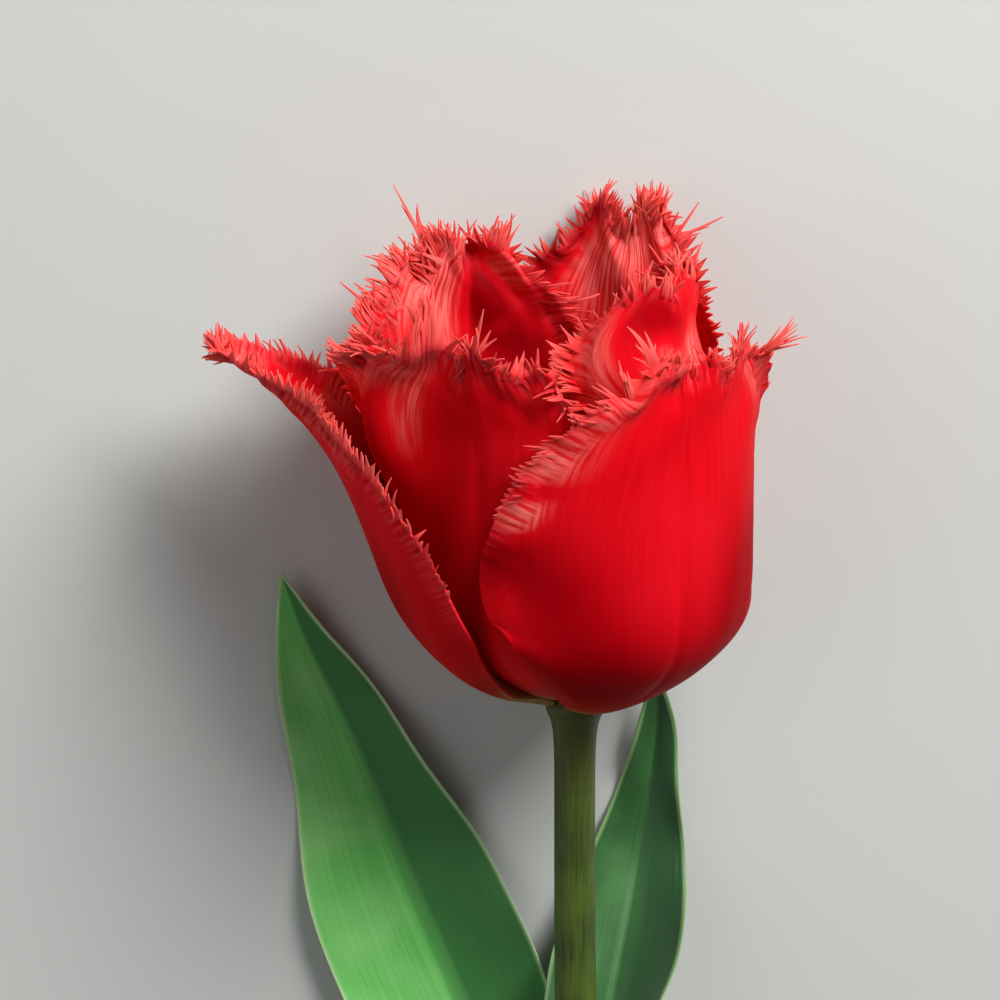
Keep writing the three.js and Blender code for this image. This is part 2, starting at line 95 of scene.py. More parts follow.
def curve_between(t, start, start_slope, end, end_slope):
    """A smooth curve from start to end, as t runs from 0 to 1, with a given slope at each."""
    return ((2 * t**3 - 3 * t**2 + 1) * start + (t**3 - 2 * t**2 + t) * start_slope
            + (3 * t**2 - 2 * t**3) * end + (t**3 - t**2) * end_slope)


def along(values, x):
    """Read a smooth curve through values, which stand at PLACES, at every x."""
    values = np.asarray(values, float)
    before = np.maximum(np.arange(len(PLACES)) - 1, 0)
    after = np.minimum(np.arange(len(PLACES)) + 1, len(PLACES) - 1)
    slopes = (values[after] - values[before]) / (PLACES[after] - PLACES[before])
    i = np.clip(np.searchsorted(PLACES, x) - 1, 0, len(PLACES) - 2)
    step = PLACES[i + 1] - PLACES[i]
    return curve_between((x - PLACES[i]) / step, values[i], step * slopes[i], values[i + 1],
                         step * slopes[i + 1])


def smooth(low, high, x):
    """Rise smoothly from 0 at low to 1 at high."""
    t = np.clip((x - low) / (high - low), 0, 1)
    return t * t * (3 - 2 * t)


print("halfway between 0 and 10:", along([0, 0, 0, 0, 10, 10, 10, 10], np.array([0.525])))

# %% [markdown]
# ## The six petals
# A tulip has three outer and three inner petals. They could be one shape in six copies, but on a real
# bloom no two are alike, so each has its own list of values. Left is the side of the larger azimuth, and
# pairs are for left and right. All is in degrees and mm, or in shares of the length.
# - azimuth: where it stands round the axis. 0 is to the right, 90 faces up from the table.
# - lean: the midline's angle to the axis. left, right: half widths.
# - bend, roll: how each side curls, evenly or only near its margin. twist turns the whole petal. All
#   three begin at late. slant makes the tip higher at the left.
# - wave, phase: how high the margin's waves and crumples are, and where they begin.
# - fringe: how long the hairs are. bare: the height up to which a margin is plain. sweep: how far the
#   hairs lean towards the tip there, where most lean back to the foot.
# - teeth: a stretch of even short blades, from and to which place, their width and length.
# - peaks: points of the tip's outline, as u, half a width and a height.
# - folds, tones: soft patches, as u, v, half a width across and along, and how much. A fold stands out
#   by so many mm. A tone is painted light: above 0 a painted highlight, below 0 painted shade.
# - tufts: long locks, as a place along the margin (0 to 1 up the left side, 1 to 2 over the tip, 2 to 3
#   down the right side), the tuft's width, the hairs' length, which way they lead (right, towards the
#   bloom's tip, up) or None, how many more stand on the face there, and how many mm in.

# %% Describe the petals
OUTER_FOOT = (4.9, 0)  # radius and rise of a petal's foot
INNER_FOOT = (4.1, 1.8)
PLAIN = dict(bend=(0, 0), twist=0, slant=0, late=0.5, teeth=(0, 0, 1, 1), peaks=[])

PETALS = {
    "petal_outer_front": dict(
        PLAIN, foot=OUTER_FOOT, azimuth=55, length=69, lean=[70, 61, 44, 4, -1, -2, 1, 6],
        left=[3.8, 11, 23, 29.3, 30.5, 25, 15.5, 3], right=[3.6, 10.5, 20, 26, 29.5, 30.5, 27.5, 19],
        roll=(10, -25), slant=0.08, wave=0.7, phase=0.4, fringe=3.2, seed=11, bare=(0.68, 0.86),
        sweep=(-0.6, -0.2), folds=[(1, 0.22, 3, 12, -0.9), (0.95, 0.7, 3, 5, 1)],
        painted_light_and_shade=[(0.88, 0.69, 4, 3, 1.1), (0.86, 0.79, 4, 3.5, 0.65), (0.8, 0.9, 3, 5, 0.5),
               (0.9, 0.74, 4, 1.5, -0.9), (0.9, 0.6, 6, 4.5, -1), (0.87, 0.49, 2, 5, 0.4),
               (-0.8, 0.93, 3, 5, 0.5), (0.4, 0.2, 14, 12, -0.7), (0.5, 0.36, 12, 14, -0.7),
               (-0.62, 0.46, 11, 14, -1.3), (0.62, 0.54, 7, 7, -0.6)],
        tufts=[(0.95, 0.006, 5.5, (-0.1, 1, 0), 4, 0.4), (0.985, 0.006, 7, (-0.25, 1, 0), 5, 0.4),
               (1.35, 0.04, 5, (-0.1, 1, 0.3), 12, 1), (1.78, 0.05, 5.5, (0.1, 1, 0.3), 20, 1.5),
               (1.99, 0.02, 8, (0.8, 0.6, 0.1), 7, 1)]),
    "petal_outer_left": dict(
        PLAIN, foot=OUTER_FOOT, azimuth=180, length=76, lean=[74, 62, 40, 21, 22, 35, 50, 60],
        left=[3.8, 11, 20, 26, 24, 17, 9, 2.5], right=[3.8, 12.5, 21.5, 26, 23.5, 15.5, 8.5, 2.5],
        bend=(24, 24), roll=(10, 10), wave=0.6, phase=1.3, fringe=3.8, seed=23, bare=(0.6, 0.42),
        sweep=(0.1, 0.6), folds=[(-1, 0.22, 4, 13, -2.4)],
        painted_light_and_shade=[(0, 0.95, 6, 5, 0.6), (-0.8, 0.78, 2, 8, 0.3), (0.85, 0.83, 4, 4, -1),
               (0.85, 0.76, 4, 4, 0.7), (-0.4, 0.43, 8, 13, -0.9)],
        tufts=[(2.2, 0.1, 3.3, (0.35, 0.75, 0.3), 90, 1.6), (1.5, 0.3, 3.5, None, 30, 2)]),
    "petal_outer_back": dict(
        PLAIN, foot=OUTER_FOOT, azimuth=290, length=79, lean=[68, 57, 33, 3, -1, -3, -2, 2],
        left=[3.6, 10.5, 20, 23, 20.5, 17, 12.5, 5], right=[3.8, 11, 21, 25.5, 25, 21.5, 16, 6],
        roll=(10, -15), wave=1.2, phase=2.1, fringe=5, seed=37, bare=(0.62, 0.62), sweep=(0, -0.3),
        folds=[(0, 0.95, 2.5, 9, -1.2), (-0.45, 0.95, 2, 9, 1), (0.5, 0.95, 2, 9, 0.8)],
        teeth=(0.73, 0.96, 1.25, 2.7), peaks=[(-0.7, 1.6, 2), (0.3, 1.5, 1.5), (0.9, 1.5, 1.5)],
        painted_light_and_shade=[(-0.3, 0.9, 6, 6, 1), (0.2, 0.96, 4, 3, 0.7), (0.5, 0.96, 3, 4, 0.5), (-0.9, 0.91, 3, 6, -1)],
        tufts=[(1.5, 0.3, 4, (0.1, 0.9, 0.4), 50, 3), (0.965, 0.004, 8, (0.9, 0.4, 0), 2, 0.3),
               (1.01, 0.008, 9, (0.75, 0.65, 0), 2, 0.3), (1.05, 0.01, 6, (0.1, 1, 0), 3, 0.3)]),
    "petal_inner_front": dict(
        PLAIN, foot=INNER_FOOT, azimuth=128, length=64.5, lean=[68, 58, 40, 4, 1, 3, 7, 12],
        left=[3.2, 11.5, 19.5, 24, 26, 26, 23, 14], right=[3.2, 11, 19, 22, 22, 21.5, 20, 14],
        bend=(-38, 0), roll=(-35, 10), twist=7, slant=0.32, late=0.35, wave=1, phase=0.2, fringe=3.8,
        seed=41, bare=(0.6, 0.7), sweep=(-0.3, -0.3), peaks=[(-0.1, 4, 2.6), (-0.55, 5, 2.2)],
        folds=[(0.68, 0.84, 4, 10, 3.8), (0.6, 0.74, 6, 8, 3.2)],
        painted_light_and_shade=[(0.9, 0.87, 4, 5, 0.7), (0.63, 0.94, 4, 3.5, 0.6), (0.48, 0.85, 2.5, 6, 0.7),
               (0.62, 0.79, 2.5, 6, -0.6), (0.55, 0.68, 4, 4, -0.3), (0.85, 0.72, 2.5, 6, -0.8),
               (-0.05, 0.76, 8, 13, -0.4), (-0.45, 0.96, 5, 4, -0.4)],
        tufts=[(1.28, 0.05, 11, (0.1, 1, -0.1), 34, 1.5), (1.56, 0.012, 7.5, (0.4, 1, 0), 5, 0.5),
               (0.93, 0.05, 3, (-0.7, 0.4, 0.4), 60, 4)]),
    "petal_inner_right": dict(
        PLAIN, foot=INNER_FOOT, azimuth=-8, length=73.5, lean=[66, 54, 31, -3, -8, -10, -10, -7],
        left=[3.2, 9.5, 17.5, 20.5, 23, 30, 34, 22], right=[3.2, 9.5, 17.5, 20.5, 20, 18.5, 16, 8],
        roll=(85, -10), slant=0.12, late=0.45, wave=0.8, phase=0.9, fringe=4.2, seed=53,
        bare=(0.66, 0.62), sweep=(-0.3, 0.1),
        folds=[(0.88, 0.93, 2, 8, 0.9), (0.67, 0.92, 1.2, 8, -0.9), (0.3, 0.95, 4, 9, -1.5)],
        painted_light_and_shade=[(0.82, 0.89, 3, 5, 0.8), (0.62, 0.96, 4, 3.5, -0.8), (0.45, 0.93, 5, 3, -0.9),
               (0.5, 0.88, 3, 2.5, 0.6), (0.22, 0.86, 4, 3, 0.8)],
        tufts=[(0.86, 0.05, 4, (-0.5, 0.5, 0.6), 40, 3), (1.5, 0.3, 3.5, None, 20, 2)]),
    "petal_inner_back": dict(
        PLAIN, foot=INNER_FOOT, azimuth=227, length=73, lean=[66, 54, 32, 3, 0, 1, 4, 8],
        left=[3.2, 9.5, 18, 21, 20.5, 18.5, 13, 4.5], right=[3.2, 8.5, 14.5, 15.5, 16, 20.4, 20.5, 7],
        bend=(0, -10), roll=(20, -35), twist=-17, late=0.45, wave=1.3, phase=2.8, fringe=4.8, seed=67,
        bare=(0.62, 0.66), sweep=(-0.6, -0.4), peaks=[(-0.8, 1.5, 2)],
        folds=[(-0.35, 0.95, 2.4, 9, -1.2), (0.1, 0.95, 2, 9, 1), (-0.75, 0.95, 1.6, 9, 1)],
        painted_light_and_shade=[(-0.6, 0.93, 5, 5, 0.8), (-0.25, 0.88, 3, 8, 1), (0.2, 0.9, 3.5, 8, -1.3),
               (0.6, 0.94, 2.5, 3, 1), (0.29, 0.83, 2, 2, 0.6), (0.5, 0.8, 6, 7, -0.8)],
        tufts=[(1.75, 0.12, 4, (-0.35, 0.9, 0.2), 40, 4), (2.1, 0.1, 3.8, (-0.7, 0.7, 0.25), 130, 9),
               (1.1, 0.04, 4.5, (0.4, 0.9, 0), 10, 1.5), (1.86, 0.0025, 12, (-0.42, 0.9, -0.1), 2, 0.3)]),
}
print("petals:", ", ".join(PETALS))

# %% [markdown]
# ## From two numbers to a place on a petal
# u runs across a petal from -1 at its right margin to 1 at its left one, v from 0 at its foot to 1 at
# its tip. The midline is walked from the foot, leaning as it goes. From each point of it the width is
# walked sideways, turning a little with every step, so a petal keeps its width however much it curls.
# The fine relief is added here too: slow swells, a groove over the midrib, and crumples and pleats near
# the margin. It could be sculpted. Sums of waves whose lengths don't fit each other look as uneven,
# and they are the same on every run. They stay smaller than the gap to the next petal.

# %% Work out places on a petal
MIDLINE_STEPS = 60
ACROSS_STEPS = 14
PLEAT_SPACING = 2.1  # mm from one pleat of the margin to the next
PLEAT_DEPTH = 0.13
PLEAT_REACH = 7  # mm from the margin inwards
PLEAT_SLOPE = 0.25  # how much a side pleat falls towards the foot on its way inwards
SWELL_DEPTH = 0.2
GROOVE_DEPTH = 0.3
GROOVE_WIDTH = 1.1
CRUMPLE_DEPTH = 0.5  # of the outermost few millimetres
CRUMPLE_REACH = 9
LOBE_HEIGHT = 1.2  # of the tip's ragged outline
FOOT_TUCK = 1.3  # mm that the foot runs into the receptacle, so that no gap shows


def petal_widths(petal, u, v):
    """Half width at u's side of the midline, in mm."""
    return np.where(u > 0, along(petal["left"], v), along(petal["right"], v))


def laid_flat(petal, u, v):
    """Places on the petal laid flat, in mm: across, up, in from the side margin and down from the tip."""
    half = petal_widths(petal, u, v)
    return u * half, v * petal["length"], (1 - np.abs(u)) * half, (1 - v) * petal["length"]


def pleats(petal, u, v):
    """Pleats of the margin, from -1 to 1, fading out to 0 away from it. Slow waves make them wander."""
    across, up, from_side, from_tip = laid_flat(petal, u, v)
    seed = petal["seed"]
    on_side = (2 * np.pi * (up + PLEAT_SLOPE * from_side) / PLEAT_SPACING + 2.2 * np.sin(0.43 * up + seed)
               + np.sin(1.3 * up + 2 * seed))
    on_tip = 2 * np.pi * across / PLEAT_SPACING + 1.9 * np.sin(0.83 * across + seed)
    side_share = smooth(PLEAT_REACH, 0, from_side) * smooth(0.3, 0.55, v)
    tip_share = smooth(PLEAT_REACH, 0, from_tip)
    side_share = side_share * (1 - 0.8 * tip_share) * (0.45 + 0.55 * np.sin(up / 4.7 + seed))
    return side_share * np.sin(on_side) + tip_share * (1 - smooth(0.75, 1, np.abs(u))) * np.sin(on_tip)


def patches(petal, kind, u, v):
    """Sum of the petal's soft patches of one kind."""
    half = petal_widths(petal, u, v)
    total = np.zeros_like(u)
    for at_u, at_v, across, up, amount in petal[kind]:
        away = ((u - at_u) * half / across) ** 2 + ((v - at_v) * petal["length"] / up) ** 2
        total += amount * np.exp(-away)
    return total


def relief(petal, u, v):
    """How far the petal's face dips inwards from the plain curved sheet, in mm."""
    across, up, from_side, from_tip = laid_flat(petal, u, v)
    seed = petal["seed"]
    swell = np.sin(across / 3.1 + seed) * np.sin(up / 6.3 + 0.3 * across + 2 * seed)
    groove = np.exp(-(across / GROOVE_WIDTH) ** 2) * smooth(0.1, 0.3, v) * (1 - smooth(0.7, 0.95, v))
    crumple = np.sin(across / 0.9 + 2 * np.sin(up / 3.7) + seed) * np.sin(up / 1.3 + across / 2.1 + seed)
    outermost = smooth(CRUMPLE_REACH, 0, np.minimum(from_side, from_tip))
    crumple = crumple * petal["wave"] * outermost * smooth(0.5, 0.75, v)
    return (SWELL_DEPTH * swell * smooth(0.1, 0.4, v) + GROOVE_DEPTH * groove
            + CRUMPLE_DEPTH * crumple + PLEAT_DEPTH * pleats(petal, u, v) - patches(petal, "folds", u, v))


def walk_across(u, half, turn_at):
    """Walk out from the midline. At the share w of its half the sheet is turned by turn_at(w)."""
    reach = np.abs(u) * half
    side = np.zeros_like(reach)
    inward = np.zeros_like(reach)
    for n in range(ACROSS_STEPS):
        turned = turn_at((n + 0.5) / ACROSS_STEPS * np.abs(u))
        side += np.cos(turned) * reach / ACROSS_STEPS
        inward += np.sin(turned) * reach / ACROSS_STEPS
    return side * np.sign(u), inward


def petal_places(petal, u, v):
    """Places of the petal's middle surface in the bloom's own frame, in mm: Y is the bloom's axis."""
    shares = np.linspace(0, 1, MIDLINE_STEPS + 1)
    leans = np.radians(along(petal["lean"], (shares[1:] + shares[:-1]) / 2))
    stride = petal["length"] / MIDLINE_STEPS
    radius = np.interp(v, shares, petal["foot"][0] + np.append(0, np.cumsum(np.sin(leans) * stride)))
    rise = np.interp(v, shares, petal["foot"][1] + np.append(0, np.cumsum(np.cos(leans) * stride)))
    lean = np.radians(along(petal["lean"], v))
    at_foot = 1 - smooth(0, 0.08, v)
    cup = np.cos(lean) * (1 - at_foot) / radius + at_foot / radius
    radius = radius - FOOT_TUCK * at_foot
    half = petal_widths(petal, u, v)
    late = smooth(petal["late"], 1, v)
    bend, roll = (np.radians(np.where(u > 0, *petal[kind])) * late for kind in ("bend", "roll"))
    side, inward = walk_across(u, half, lambda w: cup * w * half + bend * w + roll * w**4)
    lobes = np.sin(side / 1.3 + petal["seed"]) + 0.5 - np.abs(np.sin(side / 1.7 + 2 * petal["seed"]))
    for at_u, across, height in petal["peaks"]:
        lobes = lobes + height / LOBE_HEIGHT * np.exp(-((u - at_u) * half / across) ** 2)
    slanted = petal["slant"] * smooth(0.55, 1, v) * side + LOBE_HEIGHT * lobes * smooth(0.85, 1, v)
    edge = np.maximum(np.abs(u) ** 3, smooth(0.7, 1, v))
    inward += petal["wave"] * late * edge * np.sin(7 * u + 24 * v + 6 * petal["phase"])
    inward += relief(petal, u, v)
    twist = np.radians(petal["twist"]) * late
    sideways = side * np.cos(twist) + inward * np.sin(twist)
    inwards = inward * np.cos(twist) - side * np.sin(twist)
    out = radius - inwards * np.cos(lean) + slanted * np.sin(lean)
    height = rise + inwards * np.sin(lean) + slanted * np.cos(lean)
    azimuth = np.radians(petal["azimuth"])
    return np.stack([out * np.cos(azimuth) - sideways * np.sin(azimuth), height,
                     out * np.sin(azimuth) + sideways * np.cos(azimuth)], axis=-1)


BLOOM_TILT = math.radians(4)
BLOOM = Matrix.Translation((0, -REST_AHEAD * MM, AXIS_HEIGHT * MM)) @ Matrix.Rotation(BLOOM_TILT, 4, "X")


def on_the_table(places):
    """Take places from the bloom's frame in mm to the flower's frame in metres."""
    bloom = np.array(BLOOM)
    return places * MM @ bloom[:3, :3].T + bloom[:3, 3]


tip = on_the_table(petal_places(PETALS["petal_inner_back"], np.array([0.0]), np.array([1.0])))[0]
print("tip of the inner back petal:", tip.round(4))

# %% [markdown]
# ## Starting a sheet
# Every petal and leaf starts as a grid primitive, which already has neat rows and columns, and its
# points are then moved onto the described surface. A new primitive is added with everything else
# deselected, because an operator acts on all that is selected.

# %% Lay out a grid
def fresh_start():
    """Leave edit mode and select nothing."""
    if bpy.context.object and bpy.context.object.mode != "OBJECT":
        bpy.ops.object.mode_set(mode="OBJECT")
    bpy.ops.object.select_all(action="DESELECT")


def pick(piece):
    """Select one piece alone and make it the active one."""
    fresh_start()
    piece.select_set(True)
    bpy.context.view_layer.objects.active = piece


def get_points(piece, kind="co"):
    """Places of a piece's points, or their normals if the kind is normal."""
    values = np.empty(len(piece.data.vertices) * 3)
    piece.data.vertices.foreach_get(kind, values)
    return values.reshape(-1, 3)


def set_points(piece, places):
    piece.data.vertices.foreach_set("co", np.ascontiguousarray(places, dtype=np.float32).ravel())
    piece.data.update()


def grid_sheet(name, columns, rows):
    """A flat grid. Its points come back as u across and v along."""
    fresh_start()
    bpy.ops.mesh.primitive_grid_add(x_subdivisions=columns, y_subdivisions=rows, size=2)
    piece = bpy.context.object
    piece.name = piece.data.name = name
    flat = get_points(piece)
    return piece, -flat[:, 0], (flat[:, 1] + 1) / 2


TABLE_CLEARANCE = 0.24 * MM  # for the middle of a sheet: a little over half a petal's thickness


def above_the_table(places):
    """Press what would sink into the table flat against it."""
    places[:, 2] = np.maximum(places[:, 2], TABLE_CLEARANCE)
    return places


print("the middle of a sheet stays", TABLE_CLEARANCE / MM, "mm above the table")

# %% [markdown]
# ## Where the margin is
# Hairs need to know which way the margin runs, which way leads off the petal and which way leads to its
# tip. It could be measured on the mesh, but many hairs stand between the mesh's points. So all three come
# from places a small step apart on the described surface.

# %% Follow the margin
SMALL_STEP = 0.012  # along the margin, whose places run from 0 to 3
DEEPER = 4  # mm from the margin to the place that tells which way leads off the petal
MID_TIP = 1.5  # the place where the left margin ends and the right one begins


def unit(vectors):
    return vectors / np.maximum(np.linalg.norm(vectors, axis=-1, keepdims=True), 1e-12)


def height_of(place):
    """Share of the petal's length at a place of the margin."""
    return np.where(place < 1, place, np.where(place > 2, 3 - place, 1))


def margin_spot(petal, place, inset):
    """u and v for a place along the margin, set in from it by some mm."""
    side = np.where(place < MID_TIP, 1.0, -1.0)
    height = height_of(place)
    on_tip = (place > 1) & (place < 2)
    u = np.where(on_tip, 3 - 2 * place, side * (1 - inset / petal_widths(petal, side, height)))
    v = np.where(on_tip, 1 - inset / petal["length"], height)
    return u, v


def margin_frame(petal, place, inset):
    """Centre, direction along the margin, off the petal and towards its tip, at places of the margin."""
    def at(shift, deeper):
        spot = margin_spot(petal, np.clip(place + shift, 0, 3), inset + deeper)
        return on_the_table(petal_places(petal, *spot))

    centre = at(0, 0)
    edge = unit(at(SMALL_STEP, 0) - at(-SMALL_STEP, 0))
    outward = centre - at(0, DEEPER)
    outward = unit(outward - edge * np.sum(outward * edge, axis=1)[:, None])
    tipward = edge * np.where(place < MID_TIP, 1, -1)[:, None]
    return centre, edge, outward, tipward


edge_here = margin_frame(PETALS["petal_outer_front"], np.array([0.7]), np.array([0.0]))[1]
print("the front petal's left margin runs towards", edge_here[0].round(2))

# %% [markdown]
# ## The fringe
# The margin of this kind of tulip is split into hundreds of soft hairs that are one with the petal. Hair
# particles would be quick but are lost when the model is exported, so each hair is real mesh: a run
# of neighbouring border edges is extruded in steps and narrows to a point. Neighbours are
# pulled out in two passes, even runs first, so that they don't stay joined.

# %% Pull hairs out of a border
HAIR_STEPS = 6
HAIR_WIDTHS = [0.6, 0.8, 0.8, 1, 1.2, 1.5, 2.4]  # mm at the margin, of which the last makes a lock


def border_in_order(u, v):
    """Points of the border from the left foot over the tip to the right foot, and their places."""
    place = np.full(len(u), -1.0)
    place[np.isclose(u, 1)] = v[np.isclose(u, 1)]
    place[np.isclose(u, -1)] = 3 - v[np.isclose(u, -1)]
    top = np.isclose(v, 1)
    place[top] = 1 + (1 - u[top]) / 2
    border = np.flatnonzero(place >= 0)
    border = border[np.argsort(place[border])]
    return border, place[border]


def has_teeth(petal, place):
    return petal["teeth"][0] < place < petal["teeth"][1]


def split_in_runs(petal, places, roots, draw):
    """Runs of border edges, one for each hair or lock, as first and last number along the border."""
    fringed = np.flatnonzero((places >= petal["bare"][0]) & (places <= 3 - petal["bare"][1]))
    walked = np.append(0, np.cumsum(np.linalg.norm(np.diff(roots, axis=0), axis=1)))
    runs = []
    at, last = fringed[0], fringed[-1]
    while at < last:
        width = petal["teeth"][2] if has_teeth(petal, places[at]) else draw.choice(HAIR_WIDTHS)
        wanted = walked[at] + width * MM
        end = min(max(at + 1, int(np.argmin(np.abs(walked - wanted)))), last)
        runs.append((at, end))
        at = end
    return runs


def sorted_edges(mesh):
    """Every edge as its lower and its higher point number."""
    ends = np.empty(len(mesh.edges) * 2, dtype=np.int64)
    mesh.edges.foreach_get("vertices", ends)
    return np.sort(ends.reshape(-1, 2), axis=1)


def extrude_runs(piece, border, runs):
    """Extrude runs of border edges in steps. Lists each new point with its run, its spot and its step."""
    mesh = piece.data
    grown = []
    for parity in (0, 1):
        number_of = {(a, b): k for k, (a, b) in enumerate(sorted_edges(mesh).tolist())}
        chosen = np.zeros(len(mesh.edges), dtype=bool)
        owner = {}
        for k in range(parity, len(runs), 2):
            points = border[runs[k][0]:runs[k][1] + 1].tolist()
            owner.update((point, (k, spot)) for spot, point in enumerate(points))
            for a, b in zip(points, points[1:]):
                chosen[number_of[(min(a, b), max(a, b))]] = True
        before = len(mesh.vertices)
        mesh.vertices.foreach_set("select", np.zeros(before, dtype=bool))
        mesh.polygons.foreach_set("select", np.zeros(len(mesh.polygons), dtype=bool))
        mesh.edges.foreach_set("select", chosen)
        bpy.context.tool_settings.mesh_select_mode = (False, True, False)
        bpy.ops.object.mode_set(mode="EDIT")
        for _ in range(HAIR_STEPS):
            bpy.ops.mesh.extrude_edges_indiv()
        bpy.ops.object.mode_set(mode="OBJECT")
        # Each step adds one block of new points, joined to the points of the step before.
        ends = sorted_edges(mesh)
        block = len(owner)
        step_of = np.where(ends < before, 0, 1 + (ends - before) // block)
        pulled = ends[step_of[:, 1] == step_of[:, 0] + 1]
        for parent, point in pulled[np.argsort(pulled[:, 1])].tolist():
            owner[point] = owner[parent]
            grown.append((point, *owner[point], 1 + (point - before) // block))
    return grown


print("hairs grow in", HAIR_STEPS, "steps and are up to", max(HAIR_WIDTHS), "mm wide")

# %% [markdown]
# ## Shaping one hair
# A hair leaves the margin outwards, leans to one side and narrows to a point. If every hair drew its own
# lean the petal would look like a thistle. Real hairs stand combed together, so neighbours share a
# slow wave of lean, lift and length and each adds only a little of its own. A wide run
# becomes a lock: every second point stays behind, which leaves fingers on a common blade. The
# numbers come from a seeded source, so the flower is the same on every run.

# %% Shape the hairs
LOCK_WIDTH = 1.9 * MM  # a hair as wide as this becomes a lock
LOCK_POINTS = 5  # which a lock needs for its fingers
VALLEY_SHARE = 0.42  # how far the blade of a lock reaches
SHORTEST_HAIR = 0.8
BLUNT_END = 0.04 * MM  # half of what a hair is wide at its end
TUFT_REACH = 1.5  # tuft widths over which its hold fades
TUFT_HOLD = 0.85  # how much of its hairs, and of the way they lead, a tuft decides


def combed(petal, place, kind):
    """A slow wave along the margin, from -1 to 1, of which each kind is another one."""
    phase = petal["seed"] * (kind + 1.3)
    return 0.6 * math.sin(47 * place + phase) + 0.4 * math.sin(113 * place + 2 * phase)


def closeness(tuft, place):
    return math.exp(-(((place - tuft[0]) / (TUFT_REACH * tuft[1])) ** 2))


def own_side(petal, kind, place):
    """Left or right value of a pair."""
    return petal[kind][0 if place < MID_TIP else 1]


def hair_size(petal, place, draw):
    """Length in mm, lift off the petal, turn along the margin and paleness. Tufts are longer and paler."""
    bare = own_side(petal, "bare", place)
    grown = smooth(bare - 0.12, bare + 0.2, float(height_of(np.array(place))))
    own_length = 0.3 + 0.75 * draw.random() ** 1.3
    length = petal["fringe"] * grown * own_length * (1 + 0.35 * combed(petal, place, 0))
    lift = 0.25 * combed(petal, place, 1) + draw.normal(0, 0.14)
    turn = 0.25 * combed(petal, place, 2) + draw.normal(0, 0.07)
    pale = draw.uniform(0.2, 0.7)
    if has_teeth(petal, place):
        length, lift, turn, pale = petal["teeth"][3] * draw.uniform(0.8, 1.1), 0.1, 0, 0.35
    for tuft in petal["tufts"]:
        share = closeness(tuft, place)
        length += (tuft[2] * draw.uniform(0.6, 1.1) - length) * share * (draw.random() < TUFT_HOLD)
        pale += (1 - pale) * share
    return max(length, SHORTEST_HAIR), lift, turn, pale


def hair_heading(petal, place, outward, tipward, edge, normal, lift, turn):
    """The way a hair sets off: out, leaning along the side, and lifted off the petal."""
    on_side = 1 - smooth(0.92, 1, float(height_of(np.array(place))))
    sweep = own_side(petal, "sweep", place)
    heading = unit(outward + tipward * sweep * on_side + edge * turn + lift * normal)
    for tuft in petal["tufts"]:
        if tuft[3]:
            share = TUFT_HOLD * closeness(tuft, place)
            heading = unit((1 - share) * heading + share * np.array(tuft[3]))
    return heading


def shape_hair(roots, normal, heading, length, bow, draw):
    """Places of one hair's points for every step. bow is how far neighbours bend together."""
    edge = roots[-1] - roots[0]
    width = np.linalg.norm(edge)
    edge = edge / width
    spots = np.linspace(-1, 1, len(roots))
    curl = draw.normal(0.12 * bow, 0.18) * length * MM
    sway = draw.normal(0.25 * bow, 0.1) * length * MM
    share = np.linspace(0, 1, HAIR_STEPS + 1)[1:, None]
    if width < LOCK_WIDTH or len(roots) < LOCK_POINTS:
        narrow = width / 2 * (0.35 * (1 - share) ** 3 + 0.65 * (1 - share) ** 0.7) + BLUNT_END
        line = (roots.mean(axis=0) + share[..., None] * heading * length * MM
                + share[..., None] ** 2 * (curl * normal + sway * edge))
        across = narrow * spots
        arch = 0.25 * narrow * (1 - spots**2)
        return line + across[..., None] * edge + arch[..., None] * normal
    number = np.arange(len(roots))
    finger = number % 2 == 1
    reach = np.where(finger, draw.uniform(0.6, 1, len(roots)), VALLEY_SHARE)
    reach[[0, -1]] = 0.1
    own_lift = np.where(finger, draw.normal(0, 0.2, len(roots)), 0) * length * MM
    run = share * reach
    fan = (0.22 * spots * length * MM) * run - 0.2 * width * spots * share
    return (roots + run[..., None] * heading * length * MM + fan[..., None] * edge
            + (run**2)[..., None] * (curl * normal + sway * edge) + (own_lift * run**2)[..., None] * normal)


print("a lock's blade reaches", VALLEY_SHARE, "of its length")

# %% [markdown]
# ## Numbers, maps and thickness
# A material doesn't know where a petal's margin or its veins are. Images could be painted for it, but
# numbers and flat maps that the points carry are sharp at any distance and follow the sheet when it
# curls. Solidify then gives the sheet its thickness. It copies numbers and maps to the second side,
# which gets a material of its own, and a vertex group makes the hairs thin.

# %% Keep what a material reads
PETAL_THICKNESS = 0.42 * MM
TIP_THINNESS = 0.35  # share of the thickness that is left where a sheet is thinnest
THICKNESS_LEVELS = 8


def add_number(piece, name, values):
    """Store one number for each point, for a material to read."""
    layer = piece.data.attributes.new(name, "FLOAT", "POINT")
    layer.data.foreach_set("value", values.astype(np.float32))


def add_map(piece, name, across, up):
    """Store a flat map, given for each point."""
    mesh = piece.data
    layer = mesh.uv_layers.new(name=name)
    corners = np.empty(len(mesh.loops), dtype=np.int64)
    mesh.loops.foreach_get("vertex_index", corners)
    layer.uv.foreach_set("vector", np.stack([across, up], axis=1)[corners].astype(np.float32).ravel())


def drop_maps(piece):
    while piece.data.uv_layers:
        piece.data.uv_layers.remove(piece.data.uv_layers[0])


